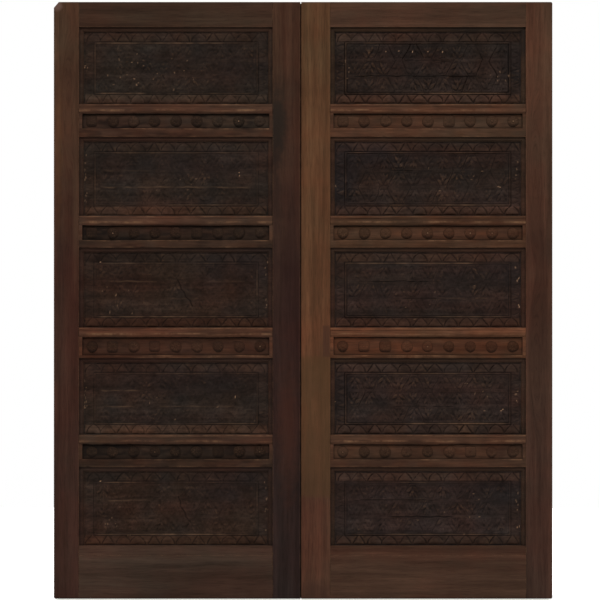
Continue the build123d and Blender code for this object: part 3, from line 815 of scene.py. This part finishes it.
def reliefBoard(nodeName, x, z, height, marks, look, finish):
    # A closed board that stands for its node: its front is a grid of points and its back is flat
    leafName = nodeName.split("_")[0]
    name = f"{nodeName}_carved"
    y = leafFront + (look["setback"] - height) * millimetre
    points = np.stack((x, y, z), axis=-1).reshape(-1, 3)
    index = np.arange(height.size).reshape(height.shape)
    corners = (index[:-1, :-1], index[1:, :-1], index[1:, 1:], index[:-1, 1:])
    faces = np.stack(corners, axis=-1).reshape(-1, 4).tolist()
    rim = np.concatenate((index[:, 0], index[-1, 1:], index[-2::-1, -1], index[0, -2:0:-1]))
    back = points[rim].copy()
    back[:, 1] = leafFront + (look["setback"] + look["thickness"]) * millimetre
    first, total = len(points), len(rim)
    for place in range(total):
        following = (place + 1) % total
        faces.append((int(rim[following]), int(rim[place]), first + place, first + following))
    faces.append(tuple(range(first, first + total)))
    mesh = bpy.data.meshes.new(name)
    mesh.from_pydata(np.concatenate((points, back)).tolist(), [], faces)
    for label, values in marks.items():
        plain = 1.0 if label == "tint" else 0.0
        marks[label] = np.concatenate((values.reshape(-1), np.full(total, plain)))
    giveMarks(mesh, marks)
    smoothFaces(mesh, look["sharpAngle"])
    board = addPiece(name, mesh, materials[f"{leafName}_{finish}"], f"{leafName}_leaf")
    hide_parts(nodeName)
    return board


def carvedPanel(leafName, number):
    look = panelLook
    state = panelStates[(leafName, number)]
    nodeName = f"{leafName}_panel_{number}"
    low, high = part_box(f"{leafName}_panel_strips_{number}")
    middle = (low + high) / 2
    halfWidth = (high.x - low.x) / 2 / millimetre
    halfHeight = (high.z - low.z) / 2 / millimetre
    rng = np.random.default_rng(100 * leafNames.index(leafName) + number)
    field = CarvedField(halfWidth, halfHeight, rng)

    plain, step = look["plainEdge"], look["gridStep"]
    columns, rows = round(2 * (halfWidth - plain) / step), round((2 * halfHeight - plain) / step)
    lineX = np.linspace(-halfWidth + plain, halfWidth - plain, columns + 1)
    lineZ = np.linspace(-halfHeight, halfHeight - plain, rows + 1)
    lineX = np.concatenate(([-halfWidth], lineX, [halfWidth]))
    u, v = np.meshgrid(lineX, np.concatenate((lineZ, [halfHeight])), indexing="ij")

    def uneven(cell, stretch=1.0):
        return latticeNoise(stretch * u, v, cell, rng)

    fade = np.clip(0.86 + 0.3 * uneven(80) + 0.3 * uneven(26), 0.2, 1.2) * state["relief"]
    cutFade = np.clip(0.8 + 1.1 * uneven(70), 0.1, 1.6) * state["cuts"]
    beadFade = np.clip(0.6 + 0.6 * uneven(120), 0.15, 1)
    inX = field.borderLength - np.abs(u)
    inTop = halfHeight - look["borderStart"] - v
    inFoot = v + halfHeight - look["borderFoot"]
    edge = np.minimum(inX, np.minimum(inTop, inFoot))
    steady = smoothStep(0, 14, edge - look["borderWidth"] - look["beadRoom"])
    stray = [look["warp"] * uneven(24) * steady for axis in range(2)]
    strayV = v + stray[1]
    dark = lineShare(state.get("dark", ()), u, strayV, edge, field, look["darkLineHalf"])
    height, rim = panelRelief(
        u, v, (inX, inTop, inFoot, edge), stray, field, number * 1.7,
        (fade, cutFade, beadFade, dark),
    )
    speck = paleNubs(u, v, field, state["nubs"], rng)
    broken = np.clip(0.7 + 0.6 * uneven(22), 0.15, 1)
    paleLines = broken * lineShare(state["pale"], u, strayV, edge, field, look["paleLineHalf"])
    speck = np.maximum(speck, look["lineBrightness"] * paleLines ** 1.4)
    if nodeName in cracks:
        height -= crackDepth(u, v, cracks[nodeName])
    rough = uneven(8, 0.7) + 0.7 * uneven(5)
    height += look["groundNoise"][leafName] * rough * (1 - 0.5 * rim)
    height = np.clip(height, look["lowest"], look["highest"])
    height[0, :] = height[-1, :] = height[:, 0] = height[:, -1] = 0

    near, wide = spread(height, 3), spread(height, 14)
    patchy = np.clip(0.3 + 0.7 * uneven(48), 0.04, 1)
    worn = np.clip((height - wide - 0.3) / 1.8, 0, 1) * patchy + 0.5 * paleLines
    # Painted shade in the cuts and hollows of the carving, darkest along the dark row lines
    shadeAndDirt = np.clip(near - height, 0, 1) * 0.6 + np.clip((wide - height) / 3.0, 0, 1) * 0.6
    shadeAndDirt = np.clip(shadeAndDirt + 0.9 * dark, 0, 1)
    share = smoothStep(-1, 1, u / halfWidth)
    # Border brightness: the borders' own tone with painted light, the foot borders mostly lighter
    # as lit from above
    topLeft, topRight, footLeft, footRight = state["borders"]
    topWarm, footWarm, fieldWarm = state["warm"]
    border, borderWarm = np.full_like(u, 1.0), np.full_like(u, 0.3)
    for depth, left, right, itsWarm in (
        (inTop, topLeft, topRight, topWarm), (inFoot, footLeft, footRight, footWarm)
    ):
        here = smoothStep(look["borderWidth"] + 5, look["borderWidth"] - 5, depth)
        border += (left + (right - left) * share - border) * here
        borderWarm += (itsWarm - borderWarm) * here
    # Painted light: the lower part of the field is lighter, away from the shade under the rail
    # above
    low = smoothStep(0.2, -0.5, (v - field.middle) / field.halfHeight)
    fieldTint = look["fieldTint"][leafName] + 0.12 * low
    tint = fieldTint + (border - fieldTint) * rim
    mottled = 0.2 * uneven(34) + 0.16 * uneven(14, 0.8)
    mottled += 0.2 * uneven(7.5, 0.75) + 0.14 * uneven(5)
    tint *= 1 + mottled
    warm = fieldWarm + (borderWarm - fieldWarm) * rim
    warm = np.clip(warm + 0.35 * uneven(60), -1, 1)

    return reliefBoard(
        nodeName, middle.x + u * millimetre, middle.z + v * millimetre, height,
        {"worn": np.clip(worn, 0, 1.8), "shadeAndDirt": shadeAndDirt, "speck": speck, "tint": tint, "warm": warm},
        look, "carving",
    )


panelTriangles = 0
for leafName in leafNames:
    for number in range(1, 6):
        panelTriangles += 2 * len(carvedPanel(leafName, number).data.polygons)
print("carved panels made:", panelTriangles, "triangles")


# Rails between the panels: a crown of two members over a sunk field with rosettes

railLook = {
    "step": 3.4,  # mm along the rail
    "setback": 1.0,  # face of the leaf to the face of the rail
    "crown": 34.0,
    "crownJoint": 11.3,  # between the two members, from the top of the rail
    "highest": 2.9,
    "fieldFoot": (87.0, 87.0, 99.0, 87.0),  # top of each rail to the foot of its sunk field
    "fieldEnd": 12.0,  # end of the rail to the sunk field
    "fieldDepth": 9.0,
    "thickness": 44.0,
    "sharpAngle": 62,
    "wander": 0.7,
    # How bright and how warm the parts of each rail are, with the sunk field darker partly as
    # painted shade in its recess, and how grimy its field is
    "fieldTint": {"left": (0.76, 0.56, 0.78, 0.62), "right": (0.84, 0.88, 1.0, 0.94)},
    "bandTint": {"left": (0.8, 0.76, 0.8, 0.72), "right": (1.0, 1.0, 0.92, 0.86)},
    "crownTint": {"left": (0.9, 1.0, 1.12, 0.95), "right": (0.82, 0.9, 1.26, 0.93)},
    "fieldWarm": {"left": (-0.45, -0.35, 0.1, -0.3), "right": (-0.1, 0.0, 0.35, 0.0)},
    "faceWarm": {"left": (0.0, 0.0, 0.3, 0.0), "right": (0.0, 0.05, 0.35, 0.0)},
    "grimeAndShade": {"left": (0.85, 0.8, 0.4, 0.75), "right": (0.2, 0.25, 0.2, 0.3)},
    "battered": (("left", 2), ("left", 4)),
}


def mirrored(ends, total, step):
    # Fine steps at both ends of a length and even ones between them
    inner = ends[-1] + step
    count = max(2, round((total - 2 * inner) / step))
    even = np.linspace(inner, total - inner, count + 1)
    return np.concatenate((ends, even, total - np.array(ends[::-1])))


def railHeights(t, foot, tall, sunk):
    # Height over the face of the rail, by the distance down from its top edge
    places = [0, 0.8, 2.5, 9.4, 10.6, 11.3, 12.4, 15.5, 21, 26.5, 30.5, 33, 34.1]
    heights = [-1.0, 0.7, 1.4, 1.3, 0.6, -0.4, 0.9, 1.9, 2.7, 2.8, 2.4, 1.5, 0.1]
    if sunk:
        depth = railLook["fieldDepth"]
        places += [34.7, 38.2, 39.4, foot - 0.5, foot + 0.3]
        heights += [-depth - 2.5, -depth - 2.5, -depth, -depth, -0.9]
    places += [foot + 1.5, tall - 1.4, tall]
    heights += [0.0, 0.0, -0.8]
    return np.interp(t, places, heights)


def frieze(leafName, number):
    look = railLook
    row = number - 1
    nodeName = f"{leafName}_frieze_rail_{number}"
    low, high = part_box(nodeName)
    spanLow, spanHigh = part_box(f"{leafName}_panel_strips_{number}")
    rng = np.random.default_rng(700 + 40 * leafNames.index(leafName) + number)
    width, tall = (spanHigh.x - spanLow.x) / millimetre, (high.z - low.z) / millimetre
    foot = look["fieldFoot"][row]
    battered = (leafName, number) in look["battered"]
    lineX = mirrored([0, 0.8, 2.5, 6, 9.5, 11.3, 11.9, 12.5, 14, 16.5], width, look["step"])
    lineT = np.concatenate((
        [0, 0.8, 2.5, 5.5, 8.5, 9.6, 10.5, 11.2, 12, 13.2, 15.5, 18.5, 22, 25.5, 28.5, 30.8],
        [32.6, 33.6, 34.1, 34.7, 36.2, 38.2, 39.4],
        np.linspace(42, foot - 2.5, 14),
        [foot - 0.5, foot + 0.3, foot + 1.5, foot + 3],
        np.linspace(foot + 5, tall - 3, max(2, round((tall - foot - 8) / 4))),
        [tall - 1.4, tall - 0.5, tall],
    ))
    u, t = np.meshgrid(lineX, lineT[::-1], indexing="ij")

    def uneven(cell, stretch=1.0):
        return latticeNoise(u, stretch * t, cell, rng)

    fromEnd = np.minimum(u, width - u)
    sunkShare = smoothStep(look["fieldEnd"] - 0.5, look["fieldEnd"] + 0.5, fromEnd)
    face = railHeights(t, foot, tall, False)
    height = face + (railHeights(t, foot, tall, True) - face) * sunkShare

    slow, fine, chips = uneven(95, 0), uneven(7), uneven(15, 2.2)
    groove = bell(t, look["crownJoint"], 0.9)
    jointShown = np.clip(0.5 + 0.8 * uneven(140, 0), 0.1, 1)
    height += (1 - jointShown) * groove * 1.4
    lips = (
        bell(t, 0, 3.0) + bell(t, 33.0, 2.6) + sunkShare * bell(t - foot, 0.9, 2.6)
        + bell(t, tall, 3.0)
    )
    chipped = np.clip(chips - 0.3, 0, 1)
    hurt = 1.0 + 1.2 * battered * smoothStep(0.7, 0.2, u / width)
    height -= 2.0 * hurt * lips * chipped
    height += 0.22 * fine + 0.25 * np.clip(slow, -1, 0.4)
    height = np.minimum(height, look["highest"])
    for end in (0, -1):
        height[end, :] = np.minimum(height[end, :], 0.0)

    below = t > foot
    inField = sunkShare * (t > 34.6) * (t < foot)
    # Painted shade in the sunk field, darkest beside its walls, and a painted shadow line under the
    # crown; then the dark joint between the crown's members, darker chips on the lips, grime smears
    # and stains
    walls = np.minimum(np.minimum(fromEnd - look["fieldEnd"], foot - t), 20)
    shadeAndDirt = inField * np.exp(-np.clip(walls, 0, 20) / 2.4) * 0.8
    shadeAndDirt += 0.95 * sunkShare * (t > 34.2) * (t < 38.9)
    shadeAndDirt += 0.7 * groove * jointShown
    shadeAndDirt += 0.5 * lips * chipped * hurt
    smears = 1.4 * uneven(55, 4) + 0.7 * uneven(18, 2.5)
    shadeAndDirt += look["grimeAndShade"][leafName][row] * np.clip(smears, 0, 1) * (inField + 0.6 * below)
    if battered:
        stainedAndShaded = smoothStep(0.28, 0.12, u / width + 0.05 * slow)
        shadeAndDirt += 0.55 * stainedAndShaded * inField + 0.25 * stainedAndShaded * below
    streaks = uneven(60, 9)
    edges = (
        0.8 * bell(t, 2.6, 1.8) + bell(t, 23.0, 3.2) + 0.9 * sunkShare * bell(t - foot, 2.2, 1.6)
        + 0.6 * bell(tall - t, 1.6, 1.2)
    )
    worn = np.clip(edges * (0.45 + 1.1 * streaks), 0, 1)
    tint = np.where(below, look["bandTint"][leafName][row], look["crownTint"][leafName][row])
    # The sunk field is darker: partly its own tone and partly painted shade in the recess
    tint = tint + (look["fieldTint"][leafName][row] - tint) * inField
    tint = tint * (1 + 0.12 * streaks + 0.1 * uneven(24))
    tint *= 1 - 0.3 * bell(t, 30.5, 2.2)
    faceWarm, fieldWarm = look["faceWarm"][leafName][row], look["fieldWarm"][leafName][row]
    warm = faceWarm + (fieldWarm - faceWarm) * inField + 0.3 * uneven(42, 2)

    drift = look["wander"] * slow * smoothStep(0, 8, t) * smoothStep(0, 8, tall - t)
    reliefBoard(
        nodeName, spanLow.x + u * millimetre, high.z - (t + drift) * millimetre, height,
        {"worn": worn, "shadeAndDirt": np.clip(shadeAndDirt, 0, 1), "speck": 0 * t, "tint": tint,
         "warm": np.clip(warm, -1, 1)},
        look, "friezes",
    )


rosetteLook = {
    "count": 9,
    "fromEnd": 45.0,  # end of the rail to the middle of the first rosette
    "radius": 21.3,
    "quirk": 3.0,  # crown to the middle part of the sunk field
    "petals": 8,
    "around": 48,
    "tallest": 8.8,
    "sharpAngle": 60,
    "shades": {"left": (0.5, 0.9), "right": (0.62, 0.92)},  # beside the field that they stand on
    # Worn nearly square by their places from the left, starting with 0
    "squares": {
        ("left", 1): (0,), ("left", 2): (0, 5), ("left", 3): (1, 3), ("left", 4): (6,),
        ("right", 1): (0, 5), ("right", 3): (1, 2), ("right", 4): (6,),
    },
}


def rosetteHeight(radius, angle):
    look = rosetteLook
    dome = 7.6 * np.sqrt(np.clip(1 - (radius / look["radius"]) ** 2.4, 0, 1))
    window = smoothStep(5.5, 8.0, radius) * fadeOut(14.5, 17.5, radius)
    petals = window * (1.3 * np.abs(np.cos(angle * look["petals"] / 2)) ** 0.8 - 0.9)
    rings = -1.0 * bell(radius, 5.9, 0.9) - 0.9 * bell(radius, 17.2, 0.9)
    boss = 1.3 * np.sqrt(np.clip(1 - (radius / 4.6) ** 2, 0, 1))
    return dome + petals + rings + boss


def rosetteRow(leafName, number):
    look = rosetteLook
    row = number - 1
    name = f"{leafName}_rosettes_{number}"
    low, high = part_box(f"{leafName}_panel_strips_{number}")
    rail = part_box(f"{leafName}_frieze_rail_{number}")
    rng = np.random.default_rng(500 + 40 * leafNames.index(leafName) + number)
    fieldTop = railLook["crown"] + look["quirk"]
    middle = rail[1].z - (fieldTop + railLook["fieldFoot"][row]) / 2 * millimetre
    pitch = ((high.x - low.x) / millimetre - 2 * look["fromEnd"]) / (look["count"] - 1)
    start = low.x / millimetre + look["fromEnd"]
    floorY = leafFront + (railLook["setback"] + railLook["fieldDepth"]) * millimetre
    fieldTint, warm = railLook["fieldTint"][leafName][row], railLook["fieldWarm"][leafName][row]
    radii = np.concatenate((
        np.linspace(0.8, 5.6, 5), np.linspace(6.4, 16.1, 7), np.linspace(16.7, look["radius"], 6)
    ))
    around = look["around"]
    radius, angle = np.meshgrid(radii, np.arange(around) * 2 * math.pi / around, indexing="ij")
    points, faces = [], []
    marks = {"worn": [], "shadeAndDirt": [], "speck": [], "tint": [], "warm": []}
    for place in range(look["count"]):
        square = place in look["squares"].get((leafName, number), ())
        vigour = rng.uniform(0.45, 0.6) if square else rng.uniform(0.62, 1.0)
        height = rosetteHeight(radius, angle + rng.uniform(0, 2 * math.pi)) * vigour
        height[:-1] += rng.uniform(-0.3, 0.2, height[:-1].shape)
        height = np.clip(height, 0.5, look["tallest"])
        height[-1] = -0.4  # sunk into the field
        corner = 1 / np.maximum(np.abs(np.cos(angle)), np.abs(np.sin(angle)))
        outline = np.minimum(corner, 1.2) if square else 1 + 0.035 * np.sin(3 * angle + place)
        centre = start + place * pitch + rng.uniform(-1.5, 1.5)
        lift = rng.uniform(-1, 1)
        reach = radius * outline * rng.uniform(0.92, 1.0)
        x = (centre + reach * np.cos(angle)) * millimetre
        y = floorY - height * millimetre
        z = middle + (reach * np.sin(angle) + lift) * millimetre
        index = len(points) + np.arange(radius.size + 1)
        points.extend(np.stack((x, y, z), axis=-1).reshape(-1, 3).tolist())
        hubY = floorY - float(height[0].mean()) * millimetre
        points.append((centre * millimetre, hubY, middle + lift * millimetre))
        soft = spread(height, 2)
        # Painted shade: darker in the hollows, round the foot of the dome and on its lower side, as
        # under light from above
        grimeAndShade = np.clip((soft - height) / 0.9, 0, 1) * 0.8 + smoothStep(18.5, 21, radius) * 0.7
        grimeAndShade += 0.55 * smoothStep(0.2, 0.9, -np.sin(angle)) * smoothStep(9, 17, radius)
        nub = rng.uniform(0, 0.4) * (rng.uniform() < 0.14)
        # The rosettes take the darkness of their field, which is partly painted shade in the recess
        shade = fieldTint * rng.uniform(*look["shades"][leafName])
        for label, values, atHub in (
            ("shadeAndDirt", np.clip(grimeAndShade, 0, 1), 0.0),
            ("worn", np.clip((height - soft) / 1.3, 0, 1), 0.4),
            ("speck", nub * (radius < 2.6), nub),
            ("tint", np.full_like(radius, shade), shade),
            ("warm", np.full_like(radius, warm), warm),
        ):
            marks[label].extend([*values.reshape(-1).tolist(), atHub])
        rings = index[:-1].reshape(radius.shape)
        following = np.roll(rings, -1, axis=1)
        corners = (rings[:-1], rings[1:], following[1:], following[:-1])
        faces.extend(np.stack(corners, axis=-1).reshape(-1, 4).tolist())
        hub, inner = int(index[-1]), rings[0].tolist()
        faces.extend((hub, *pair) for pair in zip(inner, inner[1:] + inner[:1]))
        faces.append(rings[-1, ::-1].tolist())
    mesh = bpy.data.meshes.new(name)
    mesh.from_pydata(points, [], faces)
    giveMarks(mesh, marks)
    smoothFaces(mesh, look["sharpAngle"])
    addPiece(name, mesh, materials[f"{leafName}_friezes"], f"{leafName}_leaf")


for leafName in leafNames:
    for number in range(1, 5):
        frieze(leafName, number)
        rosetteRow(leafName, number)
print("rails and rosettes made")


# Screws in the hinges and the bolt plates

screwLook = {
    "radius": 0.0042,
    "slot": 0.0007,
    "rise": 0.0007,
    "flushRise": 0.00022,  # in the hinges, whose plates nearly touch when the leaf is shut
    "segments": 14,
    "hingeGap": 0.0008,  # between the two plates of a shut hinge
    "hingeHalfHeight": 0.055,
    "fromPlateEnd": 0.016,
    "stagger": 0.007,
    "pitch": 0.036,
    "boltPlate": 0.0025,  # thickness
    "boltAcross": 0.0125,  # from the middle of a bolt plate
    "boltUp": 0.052,
}


def addScrew(build, centre, outward, turn, rise):
    # Two half moons with the slot between them
    look = screwLook
    across, facing = Vector((1, 0, 0)), Vector(outward)
    basis = Matrix((across, across.cross(facing).normalized(), facing)).transposed()
    gap = math.asin(look["slot"] / look["radius"])
    for side, start in ((1, 0), (-1, math.pi)):
        rings = []
        for radius, lift in ((1.0, 0.0), (1.0, 0.55), (0.86, 1.0)):
            rings.append([])
            for step in range(look["segments"] + 1):
                angle = start + gap + (math.pi - 2 * gap) * step / look["segments"]
                reach = look["radius"] * radius
                spot = Vector((math.cos(angle) * reach, math.sin(angle) * reach, lift * rise))
                spot.y = side * max(side * spot.y, look["slot"])
                spot.rotate(Matrix.Rotation(turn, 3, "Z"))
                rings[-1].append(build.verts.new(Vector(centre) + basis @ spot))
        closeRings(build, rings)


def screwSet(name, body, spots, outward, rise):
    rng = np.random.default_rng(len(name) * 7)
    build = bmesh.new()
    for spot in spots:
        addScrew(build, spot, outward, rng.uniform(0, math.pi), rise)
    addPiece(name, meshOf(name, build), materials["iron"], body)


def leafScrews(leafName, side):
    look = screwLook
    for end in ("top", "bottom"):
        low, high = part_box(f"{leafName}_{end}_bolt_case")
        middle = (low + high) / 2
        spots = [
            (middle.x + across * look["boltAcross"], low.y + look["boltPlate"],
             middle.z + up * look["boltUp"])
            for across in (-1, 1) for up in (-1, -0.33, 0.33, 1)
        ]
        name = f"{leafName}_{end}_bolt_screws"
        screwSet(name, f"{leafName}_leaf", spots, (0, 1, 0), look["rise"])
    pinLow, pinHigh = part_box(f"{leafName}_hinge_pins")
    pinY = (pinLow.y + pinHigh.y) / 2
    low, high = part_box(f"{leafName}_hinge_leaf_plates")
    plateEnd = high.x if side < 0 else low.x
    reach = look["hingeHalfHeight"]
    heights = (low.z + reach, (low.z + high.z) / 2, high.z - reach)
    for half, body, facing in (("leaf", f"{leafName}_leaf", 1), ("frame", "frame", -1)):
        spots = [
            (plateEnd + side * (look["fromPlateEnd"] + (up == 0) * look["stagger"]),
             pinY - facing * look["hingeGap"] / 2, height + up * look["pitch"])
            for height in heights for up in (-1, 0, 1)
        ]
        name = f"{leafName}_hinge_{half}_screws"
        screwSet(name, body, spots, (0, facing, 0), look["flushRise"])


for leafName, side in zip(leafNames, (-1, 1)):
    leafScrews(leafName, side)
print("screws made")


# Turned knobs on the bolts

knobLook = {
    "profile": (  # radius and distance out, in mm
        (4.6, 0.0), (4.6, 1.0), (3.0, 2.4), (2.7, 5.0), (3.6, 6.6), (5.6, 8.4),
        (6.2, 10.6), (5.6, 12.6), (3.6, 13.8), (0.9, 14.0),
    ),
    "around": 28,
    "sharpAngle": 40,
}


def turnedKnob(leafName, end):
    nodeName = f"{leafName}_{end}_bolt_knob"
    low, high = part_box(nodeName)
    middle = (low + high) / 2
    around = knobLook["around"]
    turns = [turn * 2 * math.pi / around for turn in range(around)]
    build = bmesh.new()
    closeRings(build, [
        [
            build.verts.new((
                middle.x + radius * millimetre * math.cos(turn), low.y + out * millimetre,
                middle.z + radius * millimetre * math.sin(turn),
            ))
            for turn in turns
        ]
        for radius, out in knobLook["profile"]
    ])
    name = f"{nodeName}_turned"
    mesh = meshOf(name, build)
    smoothFaces(mesh, knobLook["sharpAngle"])
    knob = addPiece(name, mesh, materials["iron"], f"{leafName}_{end}_bolt")
    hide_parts(nodeName)


for leafName in leafNames:
    for end in ("top", "bottom"):
        turnedKnob(leafName, end)
print("knobs made")


# Studio: pale floor, white background, soft light from above the front

studioLook = {
    "floorSize": 6.0,
    "floorTone": (0.82, 0.82, 0.82, 1),
    "floorLift": 0.62,
    "worldShade": 0.34,
    "aimHeight": 1.07,
    "lamps": {  # place, size and power
        "key": ((-0.6, -6.4, 8.6), (2.4, 1.2), 518.0),
        "fill": ((3.2, -7.0, 2.2), (2.4, 2.4), 60.0),
        "back": ((-1.2, 4.5, 3.2), (2.0, 2.0), 240.0),
        # Behind the face of the door, so that only its edges are lit
        "left_side": ((-4.6, 0.9, 2.4), (1.6, 2.0), 110.0),
        "right_side": ((4.6, 0.9, 2.4), (1.6, 2.0), 110.0),
    },
}


def makeFloor():
    build = bmesh.new()
    bmesh.ops.create_grid(build, x_segments=12, y_segments=12, size=studioLook["floorSize"] / 2)
    mesh = bpy.data.meshes.new("floor")
    build.to_mesh(mesh)
    build.free()
    floor = bpy.data.objects.new("floor", mesh)
    bpy.context.scene.collection.objects.link(floor)
    material = bpy.data.materials.new("pale_floor")
    recipe = Recipe(material)
    diffuse = recipe.add("BsdfDiffuse", {"Color": studioLook["floorTone"]})
    lift = recipe.add("Emission", {"Strength": studioLook["floorLift"]})
    both = recipe.add("AddShader", {0: diffuse.outputs[0], 1: lift.outputs[0]})
    recipe.showPale(diffuse, both, "OutputMaterial")
    mesh.materials.append(material)


def makeWorld():
    world = bpy.data.worlds.new("studio")
    bpy.context.scene.world = world
    recipe = Recipe(world)
    plain = recipe.add("Background", {"Strength": studioLook["worldShade"]})
    white = recipe.add("Background", {"Color": (1, 1, 1, 1), "Strength": 1.0})
    recipe.showPale(plain, white, "OutputWorld")


def addLamp(name, place, size, power, aim):
    lamp = bpy.data.lights.new(name, "AREA")
    lamp.shape = "RECTANGLE"
    lamp.size, lamp.size_y = size
    lamp.energy = power
    made = bpy.data.objects.new(name, lamp)
    made.location = place
    made.rotation_euler = (Vector(aim) - Vector(place)).to_track_quat("-Z", "Y").to_euler()
    bpy.context.scene.collection.objects.link(made)


makeFloor()
makeWorld()
for name, settings in studioLook["lamps"].items():
    addLamp(name, *settings, (0.0, leafFront, studioLook["aimHeight"]))

cameraLook = {
    "distance": 7.0,
    "pixel": 0.0035747,  # metres on the door's face for each pixel of the picture
    "pixels": 600,
    "place": (-0.0111, 1.07275),  # x and z
    "sensor": 36.0,
}
camera = bpy.data.objects.new("camera", bpy.data.cameras.new("camera"))
bpy.context.scene.collection.objects.link(camera)
cameraX, cameraZ = cameraLook["place"]
camera.location = (cameraX, leafFront - cameraLook["distance"], cameraZ)
camera.rotation_euler = (math.pi / 2, 0, 0)
camera.data.sensor_width = cameraLook["sensor"]
shownWidth = cameraLook["pixels"] * cameraLook["pixel"]
camera.data.lens = cameraLook["sensor"] * cameraLook["distance"] / shownWidth
bpy.context.scene.camera = camera
bpy.context.scene.view_settings.view_transform = "Standard"
print("studio and camera made")

triangles = 0
for made in bpy.data.objects:
    if made.type == "MESH":
        triangles += sum(len(face.vertices) - 2 for face in made.data.polygons)
print("triangles in all:", triangles)
